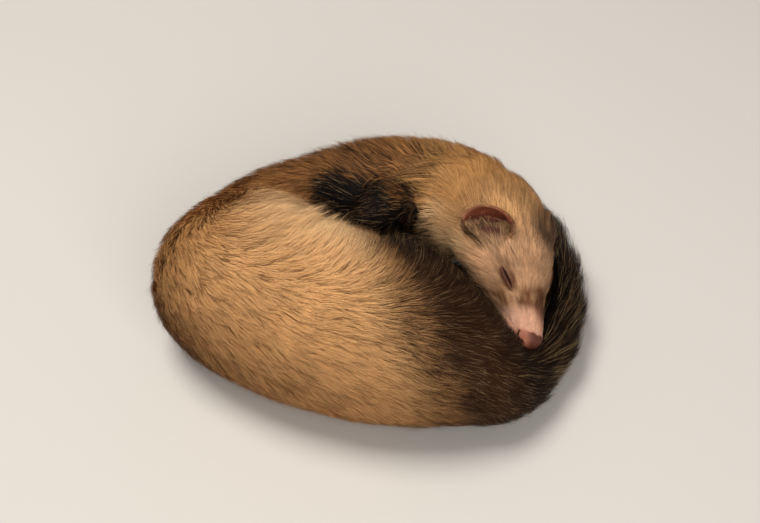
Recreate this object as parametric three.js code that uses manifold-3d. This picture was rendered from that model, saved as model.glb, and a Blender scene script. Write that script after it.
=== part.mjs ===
// A ferret asleep, curled up on its left side, at life size.
//
// Units are millimetres, +Z is up and the floor is z = 0. The back runs round the outside of the curl, from
// the neck at +Y, round by -X, to the rump at -Y. The tail lies along the +X side. The right flank faces up,
// the legs fold into the middle, and the head lies on the feet with its nose towards -Y. Each form is the
// outline of the coat, out to the tips of its fur.

import * as THREE from "three";
import { mergeVertices } from "three/addons/utils/BufferGeometryUtils.js";
import Module from "manifold-3d";

const wasm = await Module();
wasm.setup();

// Driving dimensions. The origin is the centre of the footprint, on the floor.
const ORIGIN = [1.92, -11.96];
const GAP = 0.3;
const TRUNK_SIDES = 30;
const TRUNK_RINGS_PER_SPAN = 4;

// The trunk from the back of the head to the tip of the tail. Each row is a place along it: the section's
// inner end [x, y] on the belly side and outer end [x, y] on the back, its lowest and highest z, and how
// full it is.
const TRUNK = [
  { name: "nape", inner: [26, -1], outer: [67, 14], low: 22, high: 66, full: 2 },
  { name: "neck", inner: [24, 1], outer: [58, 33], low: 14, high: 68, full: 2.1 },
  { name: "throat", inner: [20, 0], outer: [41, 45], low: 7, high: 67, full: 2.2 },
  { name: "withers", inner: [16, 0], outer: [22, 51], low: 0, high: 66, full: 2.2 },
  { name: "shoulders", inner: [5, 1], outer: [3, 52.5], low: -1.5, high: 64, full: 2.3 },
  { name: "ribs", inner: [-8, 3], outer: [-20.5, 42], low: -2, high: 65, full: 2.3 },
  { name: "back", inner: [-16, 4], outer: [-51.5, 25.5], low: -2, high: 67, full: 2.3 },
  { name: "far_bend", inner: [-20, 3], outer: [-74.5, 3], low: -2, high: 70, full: 2.3 },
  { name: "near_bend", inner: [-20, 0], outer: [-88.5, -20], low: -2, high: 74, full: 2.3 },
  { name: "waist", inner: [-17, -3], outer: [-76, -42], low: -2, high: 75, full: 2.3 },
  { name: "loin", inner: [-9, -6], outer: [-45, -62.5], low: -2, high: 75, full: 2.3 },
  { name: "belly", inner: [4, -10], outer: [-10, -74.5], low: -2, high: 74, full: 2.3 },
  { name: "flank", inner: [18, -13], outer: [16, -77], low: -2, high: 69, full: 2.3 },
  { name: "hips", inner: [33, -17], outer: [37.5, -75], low: -2, high: 60, full: 2.3 },
  { name: "rump", inner: [47, -28], outer: [56, -71.5], low: -1.5, high: 44, full: 2.2 },
  { name: "tail_root", inner: [54, -38], outer: [72.5, -59], low: -1, high: 31, full: 2.1 },
  { name: "tail_bend", inner: [61, -30], outer: [84.5, -42], low: -1, high: 28, full: 2 },
  { name: "tail_near", inner: [67, -15], outer: [91.5, -18.5], low: -1, high: 27, full: 2 },
  { name: "tail_middle", inner: [67, 4], outer: [92, 5], low: -1, high: 26, full: 2 },
  { name: "tail_far", inner: [67, 20], outer: [89, 26], low: -1, high: 22.5, full: 2 },
  { name: "tail_tip", inner: [68, 35], outer: [83, 40], low: -0.5, high: 15.5, full: 2 },
];
const TRUNK_DOMES = [9, 9];

// Lengths of the trunk: the node's name and the trunk place where it ends.
const LENGTHS = [
  { name: "neck", to: "throat" },
  { name: "shoulders", to: "ribs" },
  { name: "back", to: "near_bend" },
  { name: "loin", to: "belly" },
  { name: "rump", to: "rump" },
  { name: "tail_base", to: "tail_near" },
  { name: "tail_end", to: "tail_tip" },
];

// The head's place: the tip of the nose, its heading in plan from +X, its dip and its roll to the left.
const HEAD = { nose: [65.3, -44.3, 29.2], heading: -78, dip: 17, roll: 36 };

// The head's sections: distance back from the nose, half width, top, bottom and fullness.
const HEAD_ROWS = [
  { back: 0, width: 3.6, top: 2.9, bottom: -3.2, full: 2.2 },
  { back: 2, width: 4.4, top: 4.4, bottom: -5.0, full: 2.2 },
  { back: 6, width: 5.9, top: 5.9, bottom: -8.0, full: 2.1 },
  { back: 11, width: 7.7, top: 7.2, bottom: -9.6, full: 2.1 },
  { back: 17, width: 9.8, top: 9.4, bottom: -10.8, full: 2.1 },
  { back: 24, width: 12.8, top: 12.2, bottom: -12.2, full: 2.2 },
  { back: 32, width: 17.6, top: 14.6, bottom: -14.2, full: 2.2 },
  { back: 41, width: 20.8, top: 16.2, bottom: -16.2, full: 2.2 },
  { back: 50, width: 21.8, top: 16.8, bottom: -17.4, full: 2.2 },
  { back: 58, width: 20.6, top: 16.4, bottom: -17.8, full: 2.1 },
  { back: 65, width: 18.0, top: 14.6, bottom: -16.6, full: 2 },
];
const HEAD_DOMES = [1.2, 6];
const HEAD_SIDES = 36;
const HEAD_RINGS = 25;
const BALL_DETAIL = 3;
const CORD_SIDES = 6;

// How far along a rounded end each of its rings lies, as a share of its height.
const DOME_RINGS = [0.42, 0.74, 0.93];
const FEW_DOME_RINGS = [0.6];
const NO_DOME_RINGS = [];

// Face forms in head terms: distance back from the nose, out to the side and up.
const EYE = { back: 25.4, side: 11, up: 6.9, half: [4.9, 2.3, 3.2] };
const LID_SLIT = { radius: 0.45, length: 0.82, narrowing: 0.95, fall: 0.3 };
const NOSTRIL = { back: 1.4, side: 4.1, up: -1, half: [1.8, 1.0, 0.9] };
const MOUTH = [
  [-1.4, 0.3, -2.6],
  [-3.2, 2.6, -4.6],
  [-7, 5.3, -6.6],
  [-13, 7.9, -7.6],
  [-19, 10.2, -7.4],
  [-24, 12.6, -6.6],
];
const MOUTH_GROOVE = 0.55;

// Each ear: its root, the way it stands, the line of its base, and the half sizes of its shell and its cup.
// The right ear stands open and the left one lies flat along the head.
const EARS = {
  right: {
    side: -1,
    root: [-46.8, -18.1, 9],
    stands: [-0.58, -0.51, 0.64],
    base: [0.41, 0.605, 0.66],
    shell: [4.6, 10.8, 8],
    cup: [5.4, 9.4, 7.6],
    cupShift: [2.6, 0, 0.8],
  },
  left: {
    side: 1,
    root: [-47.5, 18.6, 9.2],
    stands: [-0.967, 0.197, 0.158],
    base: [0.007, -0.6, 0.794],
    shell: [2.6, 10.2, 7.4],
    cup: [2, 8.2, 5.8],
    cupShift: [2, 0, 0.4],
  },
};

const FUR = { cream: 0xd9b687, dark: 0x3a2c22, face: 0xd8b79a, brown: 0x5a4432 };

// Geometry helpers

const vec = (p) => new THREE.Vector3(...p);

// Values between table rows at knots, on one smooth curve for each column.
function between(knots, rows, at) {
  const last = knots.length - 1;
  let i = 0;
  while (i < last - 1 && at > knots[i + 1]) i++;
  const span = knots[i + 1] - knots[i];
  const s = (at - knots[i]) / span;
  return rows[i].map((value, column) => {
    const slope = (k) => {
      const before = Math.max(k - 1, 0);
      const after = Math.min(k + 1, last);
      return (rows[after][column] - rows[before][column]) / (knots[after] - knots[before]);
    };
    const next = rows[i + 1][column];
    const bend = s * s * (3 - 2 * s);
    return (
      value * (1 - bend) +
      next * bend +
      span * (slope(i) * s * (1 - s) * (1 - s) - slope(i + 1) * s * s * (1 - s))
    );
  });
}

// A point on a full, rounded section: an ellipse at full = 2, squarer above it.
function onSection(centre, across, rise, full, angle) {
  const bow = (x) => Math.sign(x) * Math.abs(x) ** (2 / full);
  const out = centre.clone().addScaledVector(across, bow(Math.cos(angle)));
  return out.addScaledVector(rise, bow(Math.sin(angle)));
}

// A closed geometry from rings of points, with a point at each end.
function loft(first, rings, last) {
  const sides = rings[0].length;
  const points = [first, ...rings.flat(), last];
  const index = [];
  const at = (ring, side) => 1 + ring * sides + (side % sides);
  for (let side = 0; side < sides; side++) {
    index.push(0, at(0, side + 1), at(0, side));
    index.push(points.length - 1, at(rings.length - 1, side), at(rings.length - 1, side + 1));
    for (let ring = 0; ring < rings.length - 1; ring++) {
      index.push(at(ring, side), at(ring, side + 1), at(ring + 1, side + 1));
      index.push(at(ring, side), at(ring + 1, side + 1), at(ring + 1, side));
    }
  }
  return new THREE.BufferGeometry().setFromPoints(points).setIndex(index);
}

// Stations {centre, across, rise, full} to a geometry, with a dome of the given height on each end.
function sweep(stations, sides, domes, grow = 0, domeRings = DOME_RINGS) {
  const grown = (axis) => axis.clone().setLength(axis.length() + grow);
  const ring = (station, scale, shift) =>
    Array.from({ length: sides }, (_, side) =>
      onSection(
        station.centre.clone().add(shift),
        grown(station.across).multiplyScalar(scale),
        grown(station.rise).multiplyScalar(scale),
        station.full,
        (2 * Math.PI * side) / sides,
      ),
    );
  const none = new THREE.Vector3();
  const end = (station, next, height) => {
    if (!height) return { rings: [], pole: station.centre };
    const out = new THREE.Vector3().crossVectors(station.across, station.rise).normalize();
    if (out.dot(station.centre.clone().sub(next.centre)) < 0) out.negate();
    const rings = domeRings.map((reach) =>
      ring(station, Math.sqrt(1 - reach * reach), out.clone().multiplyScalar(reach * (height + grow))),
    );
    return { rings, pole: station.centre.clone().addScaledVector(out, height + grow) };
  };
  const count = stations.length;
  const start = end(stations[0], stations[1], domes[0]);
  const stop = end(stations[count - 1], stations[count - 2], domes[1]);
  const rings = [...start.rings.reverse(), ...stations.map((s) => ring(s, 1, none)), ...stop.rings];
  return loft(start.pole, rings, stop.pole);
}

// A geometry as a solid, with its faces turned out.
function solid(geometry) {
  const plain = new THREE.BufferGeometry().setAttribute("position", geometry.getAttribute("position"));
  plain.setIndex(geometry.index);
  const merged = mergeVertices(plain, 1e-4);
  const triVerts = new Uint32Array(merged.index.array);
  const vertProperties = merged.attributes.position.array;
  const made = new wasm.Manifold(new wasm.Mesh({ numProp: 3, vertProperties, triVerts }));
  if (made.volume() > 0) return made;
  for (let i = 0; i < triVerts.length; i += 3) {
    [triVerts[i], triVerts[i + 1]] = [triVerts[i + 1], triVerts[i]];
  }
  return new wasm.Manifold(new wasm.Mesh({ numProp: 3, vertProperties, triVerts }));
}

const largest = (made) => made.decompose().sort((a, b) => b.volume() - a.volume())[0];
const joined = (solids) => solids.reduce((all, one) => all.add(one));
const cutBy = (made, cutters) => cutters.reduce((left, cutter) => left.subtract(cutter), made);

// The trunk

function trunkStation(at) {
  const rows = TRUNK.map((row) => [...row.inner, ...row.outer, row.low, row.high, row.full]);
  const [ix, iy, ox, oy, low, high, full] = between(rows.map((_, k) => k), rows, at);
  return {
    centre: new THREE.Vector3((ix + ox) / 2, (iy + oy) / 2, (low + high) / 2),
    across: new THREE.Vector3((ox - ix) / 2, (oy - iy) / 2, 0),
    rise: new THREE.Vector3(0, 0, (high - low) / 2),
    full,
  };
}

function floored(geometry) {
  const position = geometry.getAttribute("position");
  for (let i = 0; i < position.count; i++) position.setZ(i, Math.max(position.getZ(i), 0));
  return geometry;
}

// The same station moved along the trunk by a small step.
function moved(station, step) {
  const along = new THREE.Vector3(-station.across.y, station.across.x, 0).normalize();
  return { ...station, centre: station.centre.clone().addScaledVector(along, step) };
}

const trunkRings = (from, to) =>
  Array.from({ length: (to - from) * TRUNK_RINGS_PER_SPAN + 1 }, (_, k) =>
    trunkStation(from + k / TRUNK_RINGS_PER_SPAN),
  );

function trunkLength(from, to) {
  const last = TRUNK.length - 1;
  const stations = trunkRings(from, to);
  if (from > 0) stations[0] = moved(stations[0], GAP / 2);
  if (to < last) stations.push(moved(stations.pop(), -GAP / 2));
  const domes = [from > 0 ? 0 : TRUNK_DOMES[0], to < last ? 0 : TRUNK_DOMES[1]];
  return solid(floored(sweep(stations, TRUNK_SIDES, domes)));
}

const trunkGrown = () => solid(sweep(trunkRings(0, TRUNK.length - 1), TRUNK_SIDES, TRUNK_DOMES, GAP));

// Limbs: round sections along a path of {at, radius}, with an optional flatter height.
function limb(path, { sides, perSpan, domes, domeRings = DOME_RINGS, grow = 0 }) {
  const rows = path.map((p) => [...p.at, p.radius, p.height ?? p.radius]);
  const knots = rows.map((_, k) => k);
  const count = (path.length - 1) * perSpan;
  const centreAt = (k) => vec(between(knots, rows, k).slice(0, 3));
  const stations = Array.from({ length: count + 1 }, (_, i) => {
    const k = i / perSpan;
    const [x, y, z, radius, height] = between(knots, rows, k);
    const ahead = centreAt(Math.min(k + 0.1, path.length - 1));
    const behind = centreAt(Math.max(k - 0.1, 0));
    const along = ahead.sub(behind).normalize();
    const across = new THREE.Vector3(-along.y, along.x, 0).normalize();
    const rise = new THREE.Vector3().crossVectors(along, across).normalize();
    return {
      centre: new THREE.Vector3(x, y, z),
      across: across.multiplyScalar(radius),
      rise: rise.multiplyScalar(height),
      full: 2,
    };
  });
  return solid(sweep(stations, sides, domes, grow, domeRings));
}

// The head, in its own frame: +X to the nose, +Y to its left, +Z to its crown, from the tip of the nose.

const radians = THREE.MathUtils.degToRad;

function headPlace() {
  const heading = radians(HEAD.heading);
  const dip = radians(HEAD.dip);
  const roll = radians(HEAD.roll);
  const forward = new THREE.Vector3(
    Math.cos(dip) * Math.cos(heading),
    Math.cos(dip) * Math.sin(heading),
    -Math.sin(dip),
  );
  const level = new THREE.Vector3(-Math.sin(heading), Math.cos(heading), 0);
  const above = new THREE.Vector3().crossVectors(forward, level);
  const crown = above.clone().multiplyScalar(Math.cos(roll)).addScaledVector(level, Math.sin(roll));
  const left = new THREE.Vector3().crossVectors(crown, forward);
  return new THREE.Matrix4().makeBasis(forward, left, crown).setPosition(...HEAD.nose);
}

function headStation(back) {
  const rows = HEAD_ROWS.map((row) => [row.width, row.top, row.bottom, row.full]);
  const [width, top, bottom, full] = between(HEAD_ROWS.map((row) => row.back), rows, back);
  return {
    centre: new THREE.Vector3(-back, 0, (top + bottom) / 2),
    across: new THREE.Vector3(0, width, 0),
    rise: new THREE.Vector3(0, 0, (top - bottom) / 2),
    full,
  };
}

function headGeometry(grow = 0) {
  const stations = [];
  const length = HEAD_ROWS[HEAD_ROWS.length - 1].back;
  for (let k = 0; k <= HEAD_RINGS; k++) stations.push(headStation(length * (k / HEAD_RINGS) ** 1.25));
  return sweep(stations, HEAD_SIDES, HEAD_DOMES, grow);
}

const onHead = (geometry) => geometry.applyMatrix4(headPlace());

function ballGeometry(half, centre, detail = BALL_DETAIL) {
  return new THREE.IcosahedronGeometry(1, detail).scale(...half).translate(...centre);
}

// A closed tube of one radius along a list of points.
function cordGeometry(points, radius, sides = CORD_SIDES) {
  const curve = new THREE.CatmullRomCurve3(points.map(vec));
  const count = points.length * 2;
  const up = new THREE.Vector3(0, 0, 1);
  const stations = Array.from({ length: count + 1 }, (_, k) => {
    const along = curve.getTangentAt(k / count);
    const across = new THREE.Vector3().crossVectors(along, up).normalize();
    const rise = new THREE.Vector3().crossVectors(along, across).normalize();
    const centre = curve.getPointAt(k / count);
    return { centre, across: across.multiplyScalar(radius), rise: rise.multiplyScalar(radius), full: 2 };
  });
  return sweep(stations, sides, [radius, radius], 0, FEW_DOME_RINGS);
}

// A closed eye on one side: the lids as one soft pad, and the slit between them as a cut.
const lids = (side) => solid(onHead(ballGeometry(EYE.half, [-EYE.back, side * EYE.side, EYE.up])));

function lidSlit(side) {
  const [length, depth] = EYE.half;
  const points = [-1, -0.5, 0, 0.5, 1].map((k) => [
    -EYE.back + k * length * LID_SLIT.length,
    side * (EYE.side + depth - LID_SLIT.narrowing * k),
    EYE.up - LID_SLIT.fall * k,
  ]);
  return solid(onHead(cordGeometry(points, LID_SLIT.radius)));
}

function nostril(side) {
  return solid(onHead(ballGeometry(NOSTRIL.half, [-NOSTRIL.back, side * NOSTRIL.side, NOSTRIL.up], 1)));
}

function mouthLine(side) {
  return solid(onHead(cordGeometry(MOUTH.map((p) => [p[0], side * p[1], p[2]]), MOUTH_GROOVE)));
}

function head() {
  const sides = [1, -1];
  const skull = joined([solid(onHead(headGeometry())), ...sides.map(lids)]);
  return largest(cutBy(skull, sides.flatMap((side) => [lidSlit(side), nostril(side), mouthLine(side)])));
}

const headGrown = () => solid(onHead(headGeometry(GAP)));

// An ear: a thin shell with a cup on its front, standing from the head.
function earPlace(form) {
  const stands = vec(form.stands).normalize();
  const base = vec(form.base).normalize();
  const faces = new THREE.Vector3().crossVectors(base, stands).multiplyScalar(-form.side).normalize();
  const frame = new THREE.Matrix4().makeBasis(faces, base, stands).setPosition(...form.root);
  return headPlace().multiply(frame);
}

const earBall = (form, half, shift) => solid(ballGeometry(half, shift).applyMatrix4(earPlace(form)));
const earRoom = (form) => earBall(form, form.shell.map((half) => half + GAP), [0, 0, 0]);

function ear(form) {
  const shell = earBall(form, form.shell, [0, 0, 0]);
  return largest(cutBy(shell, [earBall(form, form.cup, form.cupShift), headGrown()]));
}

// Legs

// Each leg is three lengths, folded on each other: its joints with their radii, and the paw's lower height.
const LEGS = {
  fore_leg_right: [
    [
      { at: [20, 16, 47], radius: 13 },
      { at: [8, 8, 51], radius: 12.5 },
      { at: [-2, 0, 45], radius: 9.5 },
    ],
    [
      { at: [-2, 0, 44], radius: 8.5 },
      { at: [14, -3, 35], radius: 7.5 },
      { at: [29, -2, 25], radius: 6 },
    ],
    [
      { at: [28, -2, 25], radius: 5.6, height: 5 },
      { at: [41, 0, 17], radius: 6.6, height: 4 },
    ],
  ],
  fore_leg_left: [
    [
      { at: [20, 14, 15], radius: 11 },
      { at: [8, 7, 15], radius: 10.5 },
      { at: [-1, 1, 13], radius: 8.5 },
    ],
    [
      { at: [-1, 1, 12], radius: 8 },
      { at: [14, -3, 9], radius: 6.8 },
      { at: [29, -2, 7], radius: 5.8 },
    ],
    [
      { at: [28, -2, 7], radius: 5.6, height: 5 },
      { at: [41, 1, 5.5], radius: 6.6, height: 4 },
    ],
  ],
  hind_leg_right: [
    [
      { at: [32, -38, 34], radius: 13 },
      { at: [18, -23, 53], radius: 11.5 },
      { at: [8, -15, 46], radius: 10.5 },
    ],
    [
      { at: [8, -16, 45], radius: 9.5 },
      { at: [22, -15.5, 36], radius: 8.2 },
      { at: [36, -16, 27], radius: 6.5 },
    ],
    [
      { at: [35, -16, 27], radius: 6, height: 5.4 },
      { at: [47, -15.5, 20], radius: 6.2, height: 4.6 },
      { at: [58, -14, 15.5], radius: 6.4, height: 4 },
    ],
  ],
  hind_leg_left: [
    [
      { at: [34, -38, 16], radius: 12 },
      { at: [20, -25, 17], radius: 12 },
      { at: [9, -17, 14], radius: 9.5 },
    ],
    [
      { at: [9, -17, 13], radius: 9 },
      { at: [22, -18, 10], radius: 7.5 },
      { at: [36, -19, 8], radius: 6.2 },
    ],
    [
      { at: [35, -19, 8], radius: 6, height: 5.4 },
      { at: [47, -18, 6.5], radius: 6.2, height: 4.6 },
      { at: [57, -16, 5.5], radius: 6.4, height: 4 },
    ],
  ],
};
const LEG_FORM = { sides: 14, perSpan: 2, domes: [5, 3] };
const TOE_FORM = { sides: 6, perSpan: 1, domes: [1, 1.6], domeRings: FEW_DOME_RINGS };
const CLAW_FORM = { sides: 5, perSpan: 1, domes: [0.4, 0.2], domeRings: NO_DOME_RINGS };

// Toes across a paw: how far each lies to the side, how far it reaches past the paw, and its radius.
const TOES = [
  { side: -5.2, reach: 3.2, radius: 1.7 },
  { side: -2.7, reach: 6.4, radius: 2 },
  { side: 0.2, reach: 7.2, radius: 2.1 },
  { side: 3, reach: 6.2, radius: 2 },
  { side: 5.4, reach: 3, radius: 1.7 },
];
const CLAW = { length: 4.2, root: 0.95, tip: 0.35, droop: 1.7, sunk: 1.6 };

// The toes of one paw, each with its claw, set on the end of the paw's last length.
function toes(paw, grow) {
  const tip = vec(paw[paw.length - 1].at);
  const along = tip.clone().sub(vec(paw[paw.length - 2].at)).normalize();
  const across = new THREE.Vector3(-along.y, along.x, 0).normalize();
  return TOES.flatMap(({ side, reach, radius }) => {
    const at = (ahead, low) => {
      const p = tip.clone().addScaledVector(along, ahead).addScaledVector(across, side * (1 + ahead * 0.02));
      return [p.x, p.y, Math.max(p.z - low, 0.8 + radius)];
    };
    const toe = [
      { at: at(-3, 0.6), radius },
      { at: at(reach, 1.2), radius },
    ];
    const end = at(reach, 1.2);
    const clawAt = (share) => {
      const step = CLAW.length * share + radius - CLAW.sunk;
      return [end[0] + along.x * step, end[1] + along.y * step, end[2] + 0.3 - CLAW.droop * share * share];
    };
    const claw = [
      { at: clawAt(0), radius: CLAW.root },
      { at: clawAt(0.5), radius: (CLAW.root + CLAW.tip) / 2 },
      { at: clawAt(1), radius: CLAW.tip },
    ];
    return [limb(toe, { ...TOE_FORM, grow }), limb(claw, { ...CLAW_FORM, grow })];
  });
}

const leg = (name, grow = 0) =>
  joined([...LEGS[name].map((length) => limb(length, { ...LEG_FORM, grow })), ...toes(LEGS[name][2], grow)]);

// Assembly

const part = new THREE.Group();
part.position.set(-ORIGIN[0], -ORIGIN[1], 0);

function place(name, made, colour) {
  const { vertProperties, triVerts } = made.getMesh();
  const geometry = new THREE.BufferGeometry();
  geometry.setAttribute("position", new THREE.BufferAttribute(vertProperties, 3));
  geometry.setIndex(new THREE.BufferAttribute(triVerts, 1));
  geometry.computeVertexNormals();
  const mesh = new THREE.Mesh(geometry, new THREE.MeshStandardMaterial({ color: colour, roughness: 0.9 }));
  mesh.name = name;
  part.add(mesh);
}

place("head", head(), FUR.face);
place("ear_right", ear(EARS.right), FUR.brown);
place("ear_left", ear(EARS.left), FUR.brown);

const headRoom = [headGrown(), earRoom(EARS.right), earRoom(EARS.left)];
let from = 0;
for (const { name, to } of LENGTHS) {
  const end = TRUNK.findIndex((row) => row.name === to);
  const made = largest(cutBy(trunkLength(from, end), headRoom));
  place(name, made, name.startsWith("tail") ? FUR.dark : FUR.cream);
  from = end;
}

const taken = [...headRoom, trunkGrown()];
for (const name of Object.keys(LEGS)) {
  place(name, largest(cutBy(leg(name), taken)), FUR.dark);
  taken.push(leg(name, GAP));
}

export default part;
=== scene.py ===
import math
from collections import namedtuple
from types import SimpleNamespace

import bmesh
import bpy
import numpy as np
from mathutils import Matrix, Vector
from mathutils.bvhtree import BVHTree
from mathutils.kdtree import KDTree


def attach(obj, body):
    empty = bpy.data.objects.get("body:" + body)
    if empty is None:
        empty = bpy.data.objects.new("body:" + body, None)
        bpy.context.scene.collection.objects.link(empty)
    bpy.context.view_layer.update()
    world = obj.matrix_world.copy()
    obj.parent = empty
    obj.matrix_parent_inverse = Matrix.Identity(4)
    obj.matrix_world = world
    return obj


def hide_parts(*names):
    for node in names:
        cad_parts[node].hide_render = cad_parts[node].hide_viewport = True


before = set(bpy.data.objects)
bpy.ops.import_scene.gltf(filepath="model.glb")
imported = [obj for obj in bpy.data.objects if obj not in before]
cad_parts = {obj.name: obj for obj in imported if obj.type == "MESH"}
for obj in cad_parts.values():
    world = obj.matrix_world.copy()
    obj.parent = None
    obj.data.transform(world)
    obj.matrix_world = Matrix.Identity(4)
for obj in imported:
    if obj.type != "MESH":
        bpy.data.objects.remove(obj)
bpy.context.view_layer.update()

rng = np.random.default_rng(7)

# Shapes shared with the solids

ORIGIN = np.array([1.92, -11.96, 0.0])

# The trunk: inner end x, y; outer end x, y; lowest and highest z; fullness; the coat's depth.
TRUNK = np.array([
    [26, -1, 67, 14, 22, 66, 2.0, 3.6],
    [24, 1, 58, 33, 14, 68, 2.1, 4.2],
    [20, 0, 41, 45, 7, 67, 2.2, 4.8],
    [16, 0, 22, 51, 0, 66, 2.2, 5.2],
    [5, 1, 3, 52.5, -1.5, 64, 2.3, 5.4],
    [-8, 3, -20.5, 42, -2, 65, 2.3, 5.4],
    [-16, 4, -51.5, 25.5, -2, 67, 2.3, 5.4],
    [-20, 3, -74.5, 3, -2, 70, 2.3, 5.4],
    [-20, 0, -88.5, -20, -2, 74, 2.3, 5.4],
    [-17, -3, -76, -42, -2, 75, 2.3, 5.4],
    [-9, -6, -45, -62.5, -2, 75, 2.3, 5.4],
    [4, -10, -10, -74.5, -2, 74, 2.3, 5.4],
    [18, -13, 16, -77, -2, 69, 2.3, 5.4],
    [33, -17, 37.5, -75, -2, 60, 2.3, 5.4],
    [47, -28, 56, -71.5, -1.5, 44, 2.2, 5.6],
    [54, -38, 72.5, -59, -1, 31, 2.1, 6.0],
    [61, -30, 84.5, -42, -1, 28, 2.0, 6.4],
    [67, -15, 91.5, -18.5, -1, 27, 2.0, 6.6],
    [67, 4, 92, 5, -1, 26, 2.0, 6.6],
    [67, 20, 89, 26, -1, 22.5, 2.0, 6.0],
    [68, 35, 83, 40, -0.5, 15.5, 2.0, 4.6],
])
TRUNK_LAST = len(TRUNK) - 1
TRUNK_DOMES = (9, 9)
TRUNK_SIDES = 96
TRUNK_STEP = 0.1
UNDER_GAP = 3.0
SKIN_FLOOR, LEG_FLOOR, COAT_FLOOR, TUFT_FLOOR = 1.0, 0.8, 0.1, 0.12

NOSE = np.array([65.3, -44.3, 29.2])
HEADING, DIP, ROLL = -78, 17, 36

# The head: distance back from the nose; half width; top; bottom; fullness; the coat's depth.
HEAD_ROWS = np.array([
    [0, 3.6, 2.9, -3.2, 2.2, 0.0],
    [2, 4.4, 4.4, -5.0, 2.2, 0.1],
    [6, 5.9, 5.9, -8.0, 2.1, 0.35],
    [11, 7.7, 7.2, -9.6, 2.1, 0.6],
    [17, 9.8, 9.4, -10.8, 2.1, 0.9],
    [24, 12.8, 12.2, -12.2, 2.2, 1.2],
    [32, 17.6, 14.6, -14.2, 2.2, 1.7],
    [41, 20.8, 16.2, -16.2, 2.2, 2.4],
    [50, 21.8, 16.8, -17.4, 2.2, 2.9],
    [58, 20.6, 16.4, -17.8, 2.1, 3.3],
    [65, 18.0, 14.6, -16.6, 2.0, 3.6],
])
HEAD_LENGTH = 65.0
HEAD_DOMES = (1.2, 6)
HEAD_SIDES, HEAD_STEPS = 96, 90

EYE_BACK, EYE_SIDE, EYE_UP = 25.4, 12.8, 7.0
EYE_HALF = 4.9
LID_REACH, LID_SLANT, LID_FACING = 0.82, 0.138, (0.537, 0.844)
NOSTRIL = np.array([[-1.5, 4.1, -1.5], [-3.0, 4.8, -2.0], [-4.5, 5.1, -1.6], [-5.7, 5.5, 0.1]])
MOUTH = np.array([
    [-1.4, 0.3, -2.6],
    [-3.2, 2.6, -4.6],
    [-7, 5.3, -6.6],
    [-13, 7.9, -7.6],
    [-19, 10.2, -7.4],
    [-24, 12.6, -6.6],
])

# Each ear: its side, root, stand, base line, half sizes of its shell and cup, the cup's shift, how far it
# is sunk in the head, and whether it is laid back under darker hair.
Ear = namedtuple("Ear", "side root stands base shell cup shift sunk laid")
EARS = {
    "right": Ear(
        -1, [-46.8, -18.1, 9], [-0.58, -0.51, 0.64], [0.41, 0.605, 0.66],
        [4.6, 10.8, 8], [5.4, 9.4, 7.6], [2.6, 0, 0.8], [0, 0, 0], 0,
    ),
    "left": Ear(
        1, [-47.5, 18.6, 9.2], [-0.967, 0.197, 0.158], [0.007, -0.6, 0.794],
        [2.6, 10.2, 7.4], [2, 8.2, 5.8], [2, 0, 0.4], [2.8, 0, 0], 1,
    ),
}
EARS = {name: Ear(*(np.array(part, float) for part in form)) for name, form in EARS.items()}

# The legs: for each length, its joints as x, y, z, radius and height.
LEGS = {
    "fore_leg_right": [
        [[20, 16, 47, 13, 13], [8, 8, 51, 12.5, 12.5], [-2, 0, 45, 9.5, 9.5]],
        [[-2, 0, 44, 8.5, 8.5], [14, -3, 35, 7.5, 7.5], [29, -2, 25, 6, 6]],
        [[28, -2, 25, 5.6, 5], [41, 0, 17, 6.6, 4]],
    ],
    "fore_leg_left": [
        [[20, 14, 15, 11, 11], [8, 7, 15, 10.5, 10.5], [-1, 1, 13, 8.5, 8.5]],
        [[-1, 1, 12, 8, 8], [14, -3, 9, 6.8, 6.8], [29, -2, 7, 5.8, 5.8]],
        [[28, -2, 7, 5.6, 5], [41, 1, 5.5, 6.6, 4]],
    ],
    "hind_leg_right": [
        [[32, -38, 34, 13, 13], [18, -23, 53, 11.5, 11.5], [8, -15, 46, 10.5, 10.5]],
        [[8, -16, 45, 9.5, 9.5], [22, -15.5, 36, 8.2, 8.2], [36, -16, 27, 6.5, 6.5]],
        [[35, -16, 27, 6, 5.4], [47, -15.5, 20, 6.2, 4.6], [58, -14, 15.5, 6.4, 4]],
    ],
    "hind_leg_left": [
        [[34, -38, 16, 12, 12], [20, -25, 17, 12, 12], [9, -17, 14, 9.5, 9.5]],
        [[9, -17, 13, 9, 9], [22, -18, 10, 7.5, 7.5], [36, -19, 8, 6.2, 6.2]],
        [[35, -19, 8, 6, 5.4], [47, -18, 6.5, 6.2, 4.6], [57, -16, 5.5, 6.4, 4]],
    ],
}
LEG_COAT = (3.4, 1.8, 0.6)
LEG_DOMES = [(4, 2.6), (4, 2.6), (4, 2.0)]
LEG_SIDES, LEG_STEPS = 40, 24
LEAST_LEG = 0.6
# The toes: each one's side, reach past the paw and radius.
TOES = [(-5.2, 3.2, 1.7), (-2.7, 6.4, 2.0), (0.2, 7.2, 2.1), (3.0, 6.2, 2.0), (5.4, 3.0, 1.7)]
TOE_COAT, TOE_SIDES, TOE_STEPS, TOE_DOMES = 0.15, 16, 8, (1, 1.6)
CLAW_LENGTH, CLAW_ROOT, CLAW_TIP, CLAW_DROOP, CLAW_SUNK = 4.2, 0.95, 0.3, 1.7, 1.6
CLAW_STEPS = 7

FLESH = [
    "back", "ear_left", "ear_right", "fore_leg_left", "fore_leg_right", "head", "hind_leg_left",
    "hind_leg_right", "loin", "neck", "rump", "shoulders", "tail_base", "tail_end",
]

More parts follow.
